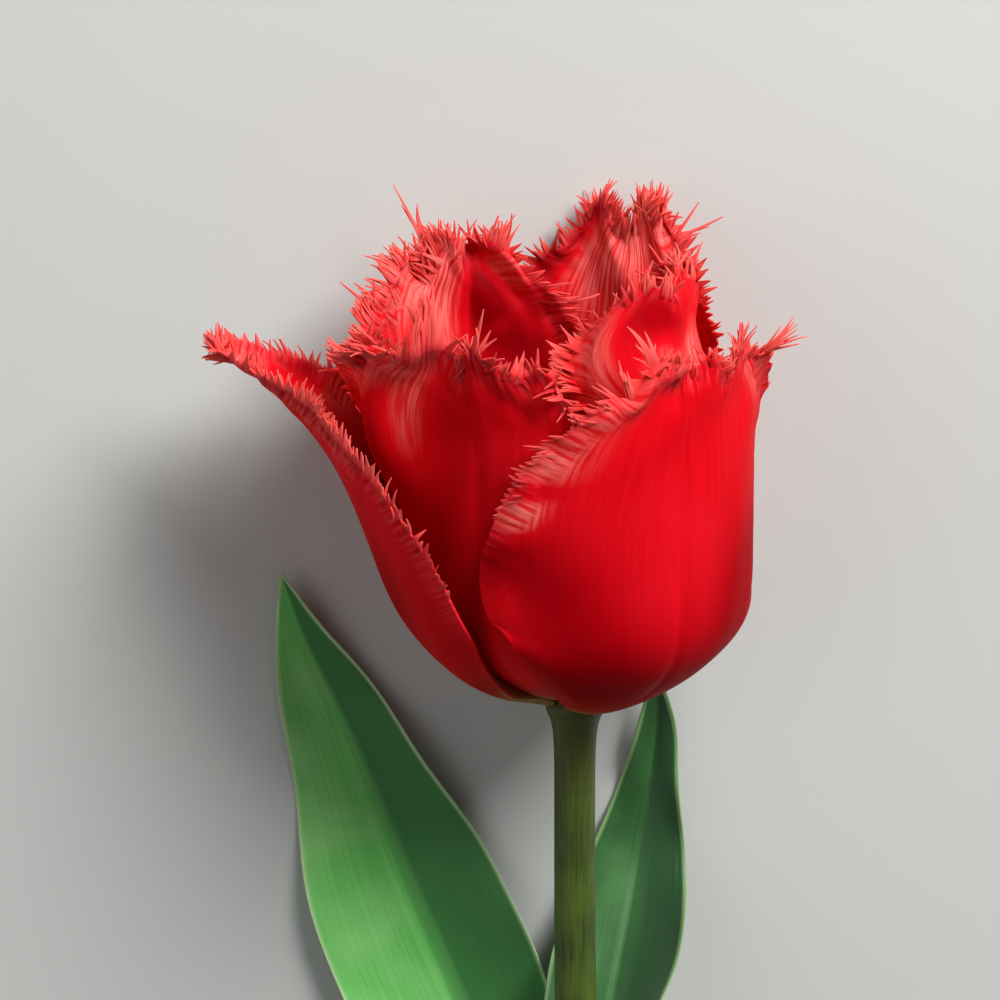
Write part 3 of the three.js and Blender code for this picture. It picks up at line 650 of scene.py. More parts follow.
def give_thickness(piece, thickness, thin):
    """Thicken a sheet to both sides. thin is 0 where it is full and 1 where it is thinnest."""
    group = piece.vertex_groups.new(name="thickness")
    levels = np.round((1 - thin) * THICKNESS_LEVELS).astype(int)
    for level in range(THICKNESS_LEVELS + 1):
        group.add(np.flatnonzero(levels == level).tolist(), level / THICKNESS_LEVELS, "REPLACE")
    # The second side gets a material of its own only if both slots are there already. They are filled later.
    piece.data.materials.append(None)
    piece.data.materials.append(None)
    shell = piece.modifiers.new("thickness", "SOLIDIFY")
    shell.thickness = thickness
    shell.offset = 0
    shell.vertex_group = group.name
    shell.thickness_vertex_group = TIP_THINNESS
    shell.material_offset = 1
    bpy.ops.object.modifier_apply(modifier=shell.name)
    piece.vertex_groups.clear()


print("thinnest places:", round(TIP_THINNESS * PETAL_THICKNESS / MM, 2), "mm")

# %% [markdown]
# ## Hairs on the margin and beside it
# The fringe is pulled out of the border. More hairs stand on the faces near the margin. They can't be
# extruded there without tearing the sheet, so each is laid as a small strip of faces, and all of them
# are joined to the petal.

# %% Grow the hairs of a petal
LOOSE_HAIRS = 130  # besides those in the tufts
NEAREST_INSET = 0.15  # mm from the margin to a loose hair's root
ENDS_FREE = 0.03  # share of the length, free of loose hairs at both ends of the fringe


def grow_margin_hairs(piece, petal, border, places, normals, draw):
    """Extrude the fringe and shape it. Gives each new point's border point, step and paleness."""
    roots = get_points(piece)[border]
    runs = split_in_runs(petal, places, roots, draw)
    _, edge, outward, tipward = margin_frame(petal, places, np.zeros(len(places)))
    grown = extrude_runs(piece, border, runs)
    shapes, paleness = [], []
    for first, last in runs:
        at = (first + last) // 2
        length, lift, turn, pale = hair_size(petal, places[at], draw)
        heading = hair_heading(petal, places[at], outward[at], tipward[at], edge[at], normals[at], lift, turn)
        bow = combed(petal, places[at], 3)
        shapes.append(shape_hair(roots[first:last + 1], normals[at], heading, length, bow, draw))
        paleness.append(pale)
    everything = get_points(piece)
    for point, run, spot, step in grown:
        everything[point] = shapes[run][step - 1][spot]
    set_points(piece, above_the_table(everything))
    rows = sorted((point, border[runs[run][0] + spot], step, paleness[run])
                  for point, run, spot, step in grown)
    return np.array(rows)[:, 1:]


def loose_places(petal, draw):
    """Place and inset of the loose hairs: along the whole fringe, and more of them in the tufts."""
    low, high = petal["bare"][0] + ENDS_FREE, 3 - petal["bare"][1] - ENDS_FREE
    place = [draw.uniform(low, high, LOOSE_HAIRS)]
    inset = [NEAREST_INSET + 2.4 * draw.random(LOOSE_HAIRS) ** 1.6]
    for centre, width, _, _, count, depth in petal["tufts"]:
        place.append(draw.normal(centre, 0.6 * width, count))
        inset.append(NEAREST_INSET + depth * draw.random(count))
    return np.clip(np.concatenate(place), low, high), np.concatenate(inset)


def lay_loose_hairs(piece, petal, places, normals, draw):
    """Join strips of faces for hairs that stand on the petal. Gives their points' u, v, step and paleness."""
    place, inset = loose_places(petal, draw)
    centre, edge, outward, tipward = margin_frame(petal, place, inset)
    u, v = margin_spot(petal, place, inset)
    nearest = np.clip(np.searchsorted(places, place), 0, len(places) - 1)
    points, faces, maps = [], [], []
    for k in range(len(place)):
        normal = unit(np.cross(edge[k], outward[k]))
        normal = normal * np.sign(normal @ normals[nearest[k]])
        length, lift, turn, pale = hair_size(petal, place[k], draw)
        width = draw.uniform(0.4, 0.7 + 0.07 * length) * MM
        leading = [tuft[3] for tuft in petal["tufts"] if tuft[3] and closeness(tuft, place[k]) > 0.3]
        face = np.sign(normal @ leading[0]) if leading else draw.choice((-1, 1))
        lift = face * (0.15 + 0.6 * abs(lift))
        roots = centre[k] + edge[k] * np.array([[-0.5], [0.5]]) * width
        heading = hair_heading(petal, place[k], outward[k], tipward[k], edge[k], normal, lift, turn)
        reach = 0.8 * length + 0.6 * min(inset[k], 3)
        hair = shape_hair(roots, normal, heading, reach, combed(petal, place[k], 3), draw)
        rows = np.concatenate([roots[None], hair])
        first = len(points)
        points.extend(rows.reshape(-1, 3))
        for step in range(HAIR_STEPS):
            a = first + 2 * step
            faces.append((a, a + 1, a + 3, a + 2))
        maps.extend((u[k], v[k], step, pale) for step in range(HAIR_STEPS + 1) for _ in range(2))
    mesh = bpy.data.meshes.new("loose_hairs")
    mesh.from_pydata(above_the_table(np.array(points)).tolist(), [], faces)
    hairs = bpy.data.objects.new("loose_hairs", mesh)
    bpy.context.scene.collection.objects.link(hairs)
    pick(piece)
    hairs.select_set(True)
    bpy.ops.object.join()
    bpy.data.meshes.remove(mesh)
    return np.array(maps)


print("each petal gets", LOOSE_HAIRS, "loose hairs and those of its tufts")

# %% [markdown]
# ## Building a petal
# The grid becomes the petal's middle surface and grows its hairs. Then it gets what its material reads:
# two maps in millimetres, one along the veins and one along and across the margin, and five numbers for
# each point: how near the margin it is, the pleats, the height, whether a side is nearer than the tip,
# and the tone, which is how much painted highlight or painted shade it gets. A petal could be copied and
# changed, but six described ones fit into each other.

# %% Build the petals
PETAL_COLUMNS = 96
PETAL_ROWS = 170
MARGIN_REACH = 7.5  # mm, how far the combed margin reaches in


def build_petal(name, petal):
    piece, u, v = grid_sheet(name + "_fringed", PETAL_COLUMNS, PETAL_ROWS)
    draw = np.random.default_rng(petal["seed"])
    set_points(piece, above_the_table(on_the_table(petal_places(petal, u, v))))
    border, places = border_in_order(u, v)
    normals = get_points(piece, "normal")[border]
    root, step, pale = grow_margin_hairs(piece, petal, border, places, normals, draw).T
    root = root.astype(int)
    still = np.zeros(len(u))
    loose = lay_loose_hairs(piece, petal, places, normals, draw).T
    grown = (u[root], v[root], step, pale)
    u, v, step, pale = (np.concatenate(parts) for parts in zip((u, v, still, still), grown, loose))
    along_hair = step / HAIR_STEPS

    _, up, from_side, from_tip = laid_flat(petal, u, v)
    low = np.where(u > 0, *petal["bare"])
    near = smooth(MARGIN_REACH, 0, np.minimum(from_tip, from_side)) * smooth(low - 0.3, low + 0.05, v)
    # tone is painted light: above 0 a painted highlight, below 0 painted shade.
    numbers = {"margin": near + along_hair**0.8 * pale, "pleat": pleats(petal, u, v), "height": v,
               "side": smooth(-2, 2, from_tip - from_side), "painted_light_shade": patches(petal, "painted_light_and_shade", u, v)}
    for number, values in numbers.items():
        add_number(piece, number, values)
    drop_maps(piece)
    # Vein lines start beside each other at the foot and bow out to the margin.
    bowed = u * (1 - 0.35 * smooth(0.3, 1, v) * np.abs(u))
    widest = max(petal["left"] + petal["right"])
    add_map(piece, "veins", bowed * widest, up + along_hair * petal["fringe"])
    add_map(piece, "combed", up + PLEAT_SLOPE * from_side, from_side - along_hair * petal["fringe"])
    give_thickness(piece, PETAL_THICKNESS, along_hair)
    bpy.ops.object.shade_smooth_by_angle(angle=math.radians(70))
    return piece


petals = {name: build_petal(name, petal) for name, petal in PETALS.items()}
for name, piece in petals.items():
    piece.data.calc_loop_triangles()
    print(piece.name, "has", len(piece.data.loop_triangles), "triangles")

# %% [markdown]
# ## Nodes and colours
# Every material below is built from nodes. One function adds a node with its settings and its links,
# which keeps each material short enough to read as a list. Most finishes here are coats of colour, one
# over the other, so another lays such coats. Colours are chosen as screen colours, and Blender
# calculates with linear light, so one function turns a hex value to linear.

# %% Set up nodes and colours
def linear(hex_value):
    """A screen colour such as 'd40f22' as linear light, with alpha 1."""
    parts = [int(hex_value[i:i + 2], 16) / 255 for i in (0, 2, 4)]
    return tuple(c / 12.92 if c <= 0.04045 else ((c + 0.055) / 1.055) ** 2.4 for c in parts) + (1.0,)


def add_node(tree, kind, settings=None, inputs=None):
    """Add a node. An input is given by name or number, as a value or as the socket that feeds it."""
    node = tree.nodes.new("ShaderNode" + kind)
    for name, value in (settings or {}).items():
        setattr(node, name, value)
    for name, value in (inputs or {}).items():
        if isinstance(value, bpy.types.NodeSocket):
            tree.links.new(value, node.inputs[name])
        else:
            node.inputs[name].default_value = value
    return node


def new_material(name, **shader_values):
    """A material with its shader, whose constant values are set on the shader's own sockets."""
    material = bpy.data.materials.new(name)
    material.use_nodes = True
    shader = material.node_tree.nodes["Principled BSDF"]
    for socket, value in shader_values.items():
        shader.inputs[socket.replace("_", " ")].default_value = value
    return material, material.node_tree, shader


BLEND = {"data_type": "RGBA"}  # a Mix node for colours: input 0 is the share, 6 and 7 the two colours
MULTIPLY = {"operation": "MULTIPLY"}


def lay_coats(tree, ground, coats):
    """Lay coats of colour over a ground. A coat is a colour and its share. Where the share has to be spread
    first, the two values it is read between follow, and then what they give, if it isn't 0 and 1."""
    colour = linear(ground)
    for coat, share, *spread in coats:
        if spread:
            share = add_node(tree, "MapRange", inputs=dict(enumerate([share, *spread]))).outputs[0]
        colour = add_node(tree, "Mix", BLEND, {0: share, 6: colour, 7: linear(coat)}).outputs[2]
    return colour


def cover(tree, shader, colour, bump=None):
    """Give the shader its colour and its relief."""
    tree.links.new(colour, shader.inputs["Base Color"])
    if bump:
        tree.links.new(bump.outputs[0], shader.inputs["Normal"])


print("petal red in linear light:", [round(c, 3) for c in linear("d40f22")])

# %% [markdown]
# ## Petal tissue
# A petal is wet living tissue under a thin smooth skin. Its cells stand in long files, which gives a
# satin gloss and fine streaks along the veins. The streaks could be painted, but noise that is
# stretched along the vein map follows every curve for free. Cell files are about 0.05 mm wide, too fine
# to show, so the streaks are drawn 0.7 mm apart. Near the margin they turn outwards and run into the
# hairs, much stronger, because the margin is ribbed: the crests are paler tissue with a painted sheen,
# and the furrows between them get painted shade. The hairs are thin and scatter light, so they look pink.
# Soft patches of painted highlight and painted shade lie on each petal, and inside, painted shade deepens
# the red into the cup. The foot is olive brown where it joins the stem, lightened inside by painted light.

# %% Make the petals' materials
STREAK_SPACING = 0.7  # mm, as all spacings and lengths here
STREAK_LENGTH = 22
FINE_SPACING = 0.28
COMB_SPACING = 0.6
COMB_LENGTH = 10
# The rib colour is paler tissue with a painted sheen on the crests. The gleam colour is a painted highlight.
RIB_TINT_AND_SHEEN, PAINTED_HIGHLIGHT, HAIR_TIP = "f64a52", "ff8078", "ff6860"
# shade is the painted shade that the tone patches lay, and cup is painted shade far down inside.
PETAL_FACES = {  # cup is the colour far down inside, foot the colours at the foot, each with its reach
    "petal_outer_face_satin": dict(
        roughness=0.5, shade="96000a", deep="ce0610", base="dc0c1a", light="e41626", cup=None,
        foot=(("b01c1c", 0.2), ("94703a", 0.09))),
    "petal_inner_face_satin": dict(
        roughness=0.45, shade="7a0006", deep="c60610", base="d80c1a", light="e61a2e", cup="780006",
        foot=(("b02424", 0.3), ("a87c40", 0.14))),
}


def streaks_along(tree, coordinates, spacing, length, roughness=0.55):
    """Noise squeezed across a map's lines and stretched along them."""
    stretched = add_node(tree, "Mapping", inputs={0: coordinates, "Scale": (1 / spacing, 1 / length, 1)})
    return add_node(tree, "TexNoise", {"noise_dimensions": "2D"},
                    {0: stretched.outputs[0], "Scale": 1.0, "Detail": 3.0, "Roughness": roughness}).outputs[0]


def petal_material(name, face):
    """Red tissue for one face of the petals."""
    material, tree, shader = new_material(
        name, Roughness=face["roughness"], IOR=1.4, Specular_IOR_Level=0.02, Subsurface_Weight=0.25,
        Subsurface_Scale=0.003, Subsurface_Radius=(1.0, 0.05, 0.04))
    veins, combed_map = (add_node(tree, "UVMap", {"uv_map": own}).outputs[0] for own in ("veins", "combed"))
    margin, pleat, height, side, painted_light_shade = (
        add_node(tree, "Attribute", {"attribute_name": number}).outputs["Fac"]
        for number in ("margin", "pleat", "height", "side", "painted_light_shade"))

    # Streaks along the veins, and slow patches of a lighter red, about 18 mm across.
    coarse = streaks_along(tree, veins, STREAK_SPACING, STREAK_LENGTH)
    fine = streaks_along(tree, veins, FINE_SPACING, STREAK_LENGTH / 2)
    both = add_node(tree, "Math", {"operation": "ADD"}, {0: coarse, 1: fine}).outputs[0]
    streaky = add_node(tree, "MapRange", inputs={0: both, 1: 0.7, 2: 1.35}).outputs[0]
    where = add_node(tree, "TexCoord").outputs["Object"]
    patchy = add_node(tree, "TexNoise", inputs={0: where, "Scale": 0.055 / MM, "Detail": 1.0}).outputs[0]
    coats = [(face["base"], streaky), (face["light"], patchy, 0.45, 0.75, 0.0, 0.5)]
    # Painted shade: the inner face's red darkens far down in the cup.
    if face["cup"]:
        coats.append((face["cup"], height, 0.5, 0.84, 1.0, 0.0))

    # The ribbed margin. Its ribs follow the veins at the tip and turn outwards at the sides.
    on_tip = streaks_along(tree, veins, COMB_SPACING, COMB_LENGTH)
    on_side = streaks_along(tree, combed_map, COMB_SPACING, COMB_LENGTH)
    beside = add_node(tree, "MapRange", inputs={0: margin, 1: 0.05, 2: 0.4}).outputs[0]
    at_side = add_node(tree, "Math", MULTIPLY, {0: side, 1: beside}).outputs[0]
    combing = add_node(tree, "Mix", inputs={0: at_side, 2: on_tip, 3: on_side}).outputs[0]
    near = add_node(tree, "MapRange", inputs={0: margin, 1: 0.4, 2: 1.0}).outputs[0]
    ribs = add_node(tree, "MapRange", inputs={0: combing, 1: 0.38, 2: 0.68}).outputs[0]
    # Painted shade in the rib furrows. On the crests: paler tissue with a painted sheen.
    painted_furrow_shade = add_node(tree, "MapRange", inputs={0: ribs, 1: 0.0, 2: 0.5, 3: 0.5, 4: 0.0}).outputs[0]
    pleated = add_node(tree, "MapRange", inputs={0: pleat, 1: -0.6, 2: 0.6, 3: 0.3, 4: 0.8}).outputs[0]
    crest_tint_and_sheen = add_node(tree, "Math", MULTIPLY, {0: ribs, 1: pleated}).outputs[0]
    # Painted highlight: pale streaks where the tone is above 0. Below 0 the tone lays painted shade.
    highlight_share = add_node(tree, "MapRange", inputs={0: painted_light_shade, 1: 0.0, 2: 1.0}).outputs[0]
    strands = add_node(tree, "MapRange", inputs={0: combing, 1: 0.38, 2: 0.64, 3: 0.1, 4: 0.9}).outputs[0]
    painted_furrow_shade, crest_tint_and_sheen, highlight_share, combed_height = (
        add_node(tree, "Math", MULTIPLY, {0: first, 1: second}).outputs[0]
        for first, second in ((near, painted_furrow_shade), (near, crest_tint_and_sheen), (highlight_share, strands), (near, combing)))
    coats += [(face["deep"], painted_furrow_shade), (RIB_TINT_AND_SHEEN, crest_tint_and_sheen), (face["shade"], painted_light_shade, 0.0, -1.0), (PAINTED_HIGHLIGHT, highlight_share),
              (HAIR_TIP, margin, 1.0, 1.75)]

    # The foot, whose edge is ragged because the colour follows the streaks.
    ragged = add_node(tree, "Math", {"operation": "MULTIPLY_ADD"},
                      {0: streaky, 1: -0.06, 2: height}).outputs[0]
    # The foot is olive brown. On the inner face its colours are also lightened by painted light, where the
    # foot lies in shade.
    for foot_colour, reach in face["foot"]:
        low = add_node(tree, "MapRange", {"interpolation_type": "SMOOTHSTEP"},
                       {0: ragged, 1: reach * 0.45, 2: reach, 3: 1.0, 4: 0.0}).outputs[0]
        coats.append((foot_colour, low))

    veined = add_node(tree, "Bump", inputs={"Strength": 0.25, "Distance": 0.05 * MM, "Height": both})
    ribbed = add_node(tree, "Bump", inputs={"Strength": 0.7, "Distance": 0.2 * MM, "Height": combed_height,
                                            "Normal": veined.outputs[0]})
    cover(tree, shader, lay_coats(tree, face["deep"], coats), ribbed)
    return material


petal_outside, petal_inside = (petal_material(name, face) for name, face in PETAL_FACES.items())
for piece in petals.values():
    piece.data.materials[0] = petal_outside
    piece.data.materials[1] = petal_inside
print("petal materials:", petal_outside.name, petal_inside.name)

# %% [markdown]
# ## The stem
# The stem is a solid round stalk, a little thicker at its cut end, that widens into the receptacle
# under the petals. A curve with a bevel would do, but the receptacle's steps want rings of
# their own. So a disc is added at the cut end and extruded ring by ring along the stem's line.

# %% Build the stem
STEM_LENGTH = 262
STEM_RADIUS_TOP = 3.1
STEM_RADIUS_CUT = 4.2
STEM_BOW = 9
STEM_SIDES = 32
STEM_RINGS = 56
STEM_SAG = AXIS_HEIGHT - STEM_LENGTH * math.sin(BLOOM_TILT) - STEM_RADIUS_CUT * math.cos(BLOOM_TILT)
RECEPTACLE_FROM = 11  # mm behind the petals' foot, where the evenly spaced rings end
RECEPTACLE = [(-7, 3.15), (-3.6, 3.35), (-1.8, 3.8), (-0.6, 4.5), (0.6, 4.5), (1.3, 3.75), (2.6, 3.75),
              (3.6, 3.4)]  # rise and radius of its rings
LEAF_JOINTS = (76, 106)  # mm behind the petals' foot, where the stem is a little swollen
JOINT_SWELL, JOINT_REACH = 0.25, 3.5


def stem_centre(distance):
    """Centre of the stem, in mm, at a distance behind the petals' foot."""
    share = max(distance, 0) / STEM_LENGTH
    return Vector((STEM_BOW * share**2, -distance * math.cos(BLOOM_TILT) - REST_AHEAD,
                   AXIS_HEIGHT - distance * math.sin(BLOOM_TILT) - STEM_SAG * share**2))


def stem_radius(distance):
    share = float(smooth(0, 1, distance / STEM_LENGTH))
    return STEM_RADIUS_TOP + (STEM_RADIUS_CUT - STEM_RADIUS_TOP) * share


def swollen(distance):
    return sum(JOINT_SWELL * math.exp(-(((distance - joint) / JOINT_REACH) ** 2)) for joint in LEAF_JOINTS)


stem_rings = []
for k in range(STEM_RINGS + 1):
    distance = STEM_LENGTH - k / STEM_RINGS * (STEM_LENGTH - RECEPTACLE_FROM)
    stem_rings.append((stem_centre(distance) * MM, (stem_radius(distance) + swollen(distance)) * MM))
for rise, radius in RECEPTACLE:
    stem_rings.append((stem_centre(-rise) * MM, radius * MM))


def extruded_through(name, rings, sides, rotation=(0, 0, 0)):
    """A closed round body: a disc at the first ring, extruded to each ring and brought to its radius."""
    fresh_start()
    (place, radius), *others = rings
    bpy.ops.mesh.primitive_circle_add(vertices=sides, radius=radius, fill_type="NGON", location=place,
                                      rotation=rotation)
    piece = bpy.context.object
    piece.name = piece.data.name = name
    bpy.ops.object.transform_apply(location=True, rotation=True, scale=True)
    bpy.ops.object.mode_set(mode="EDIT")
    bpy.ops.mesh.select_all(action="SELECT")
    for next_place, next_radius in others:
        bpy.ops.mesh.extrude_region_move(TRANSFORM_OT_translate={"value": next_place - place})
        bpy.ops.transform.resize(value=(next_radius / radius,) * 3, center_override=next_place)
        place, radius = next_place, next_radius
    bpy.ops.mesh.select_all(action="SELECT")
    bpy.ops.mesh.normals_make_consistent(inside=False)
    bpy.ops.object.mode_set(mode="OBJECT")
    return piece


stem = extruded_through("stem_fresh", stem_rings, STEM_SIDES, (math.radians(-90) + BLOOM_TILT, 0, 0))
print(stem.name, "has", len(stem.data.polygons), "faces over", round(stem.dimensions.y / MM), "mm")

# %% [markdown]
# ## The cut end
# A knife leaves a flat face with a green rim of skin round pale, juicy pith. It could be a disc of its
# own, but then stem and pith would be two pieces. So the face of the first disc is inset four times: a
# narrow rounded edge, the green rim, a step down to the pith, which has dried and sunk a little, and a
# ring of pith. The last face is cut into triangles round its middle.

# %% Shape the cut end
CUT_INSETS = [(0.35, 0.18), (0.45, 0), (0.3, -0.25), (1.2, 0)]  # width and rise of each ring of faces, in mm


def select_faces(piece, wanted):
    """Select the faces for which wanted(face) holds, and go to edit mode."""
    pick(piece)
    for part in (piece.data.vertices, piece.data.edges, piece.data.polygons):
        part.foreach_set("select", np.zeros(len(part), dtype=bool))
    for face in piece.data.polygons:
        face.select = wanted(face)
    bpy.context.tool_settings.mesh_select_mode = (False, False, True)
    bpy.ops.object.mode_set(mode="EDIT")


cut_y = min(vertex.co.y for vertex in stem.data.vertices)
select_faces(stem, lambda face: len(face.vertices) == STEM_SIDES and face.center.y < cut_y + 2 * MM)
for width, rise in CUT_INSETS:
    bpy.ops.mesh.inset(thickness=width * MM, depth=rise * MM)
bpy.ops.mesh.poke()
bpy.ops.object.mode_set(mode="OBJECT")
lowest = min(vertex.co.z for vertex in stem.data.vertices)
print("lowest point of the stem:", round(lowest / MM, 3), "mm")

# %% [markdown]
# ## Skin of the stem and pith
# The skin is a waxy green tissue with fine ribs that run along it. It is moulded by growth, not
# polished, so it has a soft satin gloss. The ribs could be modelled, but at 0.5 mm apart a bump is enough.
# Towards the bloom the skin turns to a brownish olive. Pith is pale, wet and spongy. Its cells are about
# 0.1 mm wide, too fine to show, so they are drawn 0.4 mm wide, each a little darker in its middle.

# %% Make the stem's materials
SKIN_WIDTH = 0.7  # mm, of the green rim round the pith


def spotted_material(name, texture, texture_values, colours, spread=(), relief=None, **shader_values):
    """Tissue with spots of a second colour. relief is how strong its bumps are and how high, in mm."""
    material, tree, shader = new_material(name, **shader_values)
    where = add_node(tree, "TexCoord").outputs["Object"]
    spots = add_node(tree, texture, inputs={"Vector": where, **texture_values}).outputs[0]
    bump = relief and add_node(
        tree, "Bump", inputs={"Strength": relief[0], "Distance": relief[1] * MM, "Height": spots})
    cover(tree, shader, lay_coats(tree, colours[0], [(colours[1], spots, *spread)]), bump)
    return material


def round_off(piece):
    """Round a piece by one level of subdivision."""
    pick(piece)
    rounding = piece.modifiers.new("rounding", "SUBSURF")
    rounding.levels = rounding.render_levels = 1
    bpy.ops.object.modifier_apply(modifier=rounding.name)


stem_skin, tree, shader = new_material(
    "stem_skin_waxy", Roughness=0.48, IOR=1.42, Subsurface_Weight=0.08, Subsurface_Scale=0.002,
    Subsurface_Radius=(0.5, 1.0, 0.3))
where = add_node(tree, "TexCoord").outputs["Object"]
lengthways = add_node(tree, "Mapping", inputs={0: where, "Scale": (2 / MM, 0.04 / MM, 2 / MM)}).outputs[0]
ribs = add_node(tree, "TexNoise", inputs={"Vector": lengthways, "Scale": 1.0, "Detail": 2.0}).outputs[0]
mottle = add_node(tree, "TexNoise", inputs={"Vector": where, "Scale": 0.13 / MM, "Detail": 3.0}).outputs[0]
along_stem = add_node(tree, "SeparateXYZ", inputs={0: where}).outputs["Y"]
colour = lay_coats(tree, "2e3c12", [("485a1c", ribs, 0.35, 0.7), ("566a22", mottle, 0.4, 0.75, 0.0, 0.6),
                                    ("4c4a1a", along_stem, -45 * MM, -26 * MM)])
cover(tree, shader, colour, add_node(tree, "Bump", inputs={"Strength": 0.4, "Distance": 0.1 * MM,
                                                           "Height": ribs}))
stem_pith = spotted_material(
    "stem_pith_cut", "TexVoronoi", {"Scale": 2.6 / MM}, ("93a860", "d3dba4"), (0.05, 0.5),
    Roughness=0.35, IOR=1.36, Subsurface_Weight=0.2, Subsurface_Scale=0.002,
    Subsurface_Radius=(1.0, 1.0, 0.6))

stem.data.materials.append(stem_skin)
stem.data.materials.append(stem_pith)
cut_centre = stem_centre(STEM_LENGTH) * MM
for face in stem.data.polygons:
    reach = math.hypot(face.center.x - cut_centre.x, face.center.z - cut_centre.z)
    at_cut = face.center.y < cut_y + 1.2 * MM
    face.material_index = int(at_cut and reach < (STEM_RADIUS_CUT - SKIN_WIDTH) * MM)
round_off(stem)
bpy.ops.object.shade_smooth_by_angle(angle=math.radians(50))
set_points(stem, np.maximum(get_points(stem), (-1, -1, 0)))
print("stem materials:", stem_skin.name, stem_pith.name)

# %% [markdown]
# ## The leaves
# A tulip's leaf wraps half round the stem where it grows from it, and opens into a broad blade with
# a trough along its middle. It could be a petal's sheet bent to fit, but it follows the stem and then
# the table, so its path is a line through a few points. The width is walked out from that line to both
# sides as on a petal, and turns up towards its margins. In mm and degrees: attached is how far behind
# the petals' foot it grows, clock which way it stands off the stem, path where it runs from there, half
# its half widths, face the way its upper side looks, turn how far its sides curl up.

# %% Describe the leaves
LEAVES = {
    "leaf_left": dict(
        attached=106, clock=222, wave=1.1,
        path=[(-9.5, -78, 7.6), (-17.5, -58, 3), (-27, -35, 0.55), (-35, -13, 0.35), (-41.5, 3, 1.4),
              (-45, 15, 3.6)],
        half=[8, 9.5, 13, 16, 15, 10.5, 6, 0.3], face=[42, 50, 68, 84, 92, 96, 98, 98],
        turn=[96, 72, 42, 30, 24, 22, 20, 12]),
    "leaf_right": dict(
        attached=76, clock=318, wave=0.8,
        path=[(5.8, -54, 12.4), (8.6, -42, 5.6), (11, -29, 0.8), (12.3, -19, 0.8), (13.2, -9, 3),
              (12.8, 1, 6)],
        half=[8.6, 9.6, 10.8, 10.5, 7.8, 4.8, 2.9, 0.3], face=[138, 130, 118, 106, 98, 96, 96, 96],
        turn=[96, 74, 50, 38, 32, 28, 24, 14]),
}
CLASP_LENGTH = 12  # mm of the leaf that lie along the stem
CLASP_SEAT = 0.55  # mm from the stem's skin to the middle of the leaf there
LEAF_GROOVE, LEAF_GROOVE_WIDTH = 0.35, 0.8  # over the midrib
LINE_SAMPLES = 600


def rounded_line(points):
    """Evenly spaced places of a smooth curve through points, and its length."""
    points = np.array(points, float)
    padded = np.vstack([2 * points[0] - points[1], points, 2 * points[-1] - points[-2]])
    pieces = []
    for k in range(1, len(padded) - 2):
        p0, p1, p2, p3 = padded[k - 1:k + 3]
        d0, d1, d2 = (np.linalg.norm(b - a) ** 0.5 for a, b in ((p0, p1), (p1, p2), (p2, p3)))
        start = ((p1 - p0) / d0 - (p2 - p0) / (d0 + d1) + (p2 - p1) / d1) * d1
        end = ((p2 - p1) / d1 - (p3 - p1) / (d1 + d2) + (p3 - p2) / d2) * d1
        t = np.linspace(0, 1, 60, endpoint=False)[:, None]
        pieces.append(curve_between(t, p1, start, p2, end))
    line = np.vstack(pieces + [points[-1]])
    run = np.append(0, np.cumsum(np.linalg.norm(np.diff(line, axis=0), axis=1)))
    even = np.linspace(0, run[-1], LINE_SAMPLES)
    return np.stack([np.interp(even, run, line[:, axis]) for axis in range(3)], axis=1), run[-1]


def leaf_line(leaf):
    clock = math.radians(leaf["clock"])
    out = Vector((math.cos(clock), 0, math.sin(clock)))
    clasp = []
    for back in (0, CLASP_LENGTH / 2, CLASP_LENGTH):
        distance = leaf["attached"] - back
        clasp.append(stem_centre(distance) + out * (stem_radius(distance) + CLASP_SEAT))
    blade = [(x, y - REST_AHEAD, z) for x, y, z in leaf["path"]]
    return rounded_line([tuple(point) for point in clasp] + blade)


def leaf_places(leaf, u, v):
    """Places of the leaf's middle surface in the flower's frame, in mm."""
    line, _ = leaf_line(leaf)
    shares = np.linspace(0, 1, LINE_SAMPLES)
    centre = np.stack([np.interp(v, shares, line[:, axis]) for axis in range(3)], axis=1)
    slope = np.gradient(line, axis=0)
    forward = unit(np.stack([np.interp(v, shares, slope[:, axis]) for axis in range(3)], axis=1))
    face = np.radians(along(leaf["face"], v))
    normal = np.stack([np.cos(face), np.zeros_like(face), np.sin(face)], axis=1)
    normal = unit(normal - forward * np.sum(normal * forward, axis=1)[:, None])
    side = np.cross(forward, normal)
    half = along(leaf["half"], v)
    most = np.radians(along(leaf["turn"], v))
    across, rise = walk_across(u, half, lambda w: most * w)
    free = smooth(0.2, 0.5, v) * (1 - smooth(0.8, 1, v))
    rise += leaf["wave"] * free * u * u * np.sin(v * 26 + u * 1.5)
    rise -= LEAF_GROOVE * np.exp(-(u * half / LEAF_GROOVE_WIDTH) ** 2) * (1 - smooth(0.85, 1, v))
    return centre + side * across[:, None] + normal * rise[:, None]


for name, leaf in LEAVES.items():
    print(name, "is", round(leaf_line(leaf)[1]), "mm long")

# %% [markdown]
# ## Building a leaf
# The leaf is made like a petal, without hairs, because the same few steps serve both. It is thicker, and
# its map keeps the veins side by side from the base to the tip, where they all meet, as on any leaf with
# parallel veins.

# %% Build the leaves
LEAF_COLUMNS = 48
LEAF_ROWS = 160
LEAF_THICKNESS = 0.75 * MM
LEAF_CLEARANCE = 0.01 * MM  # from the table to the leaf's under face


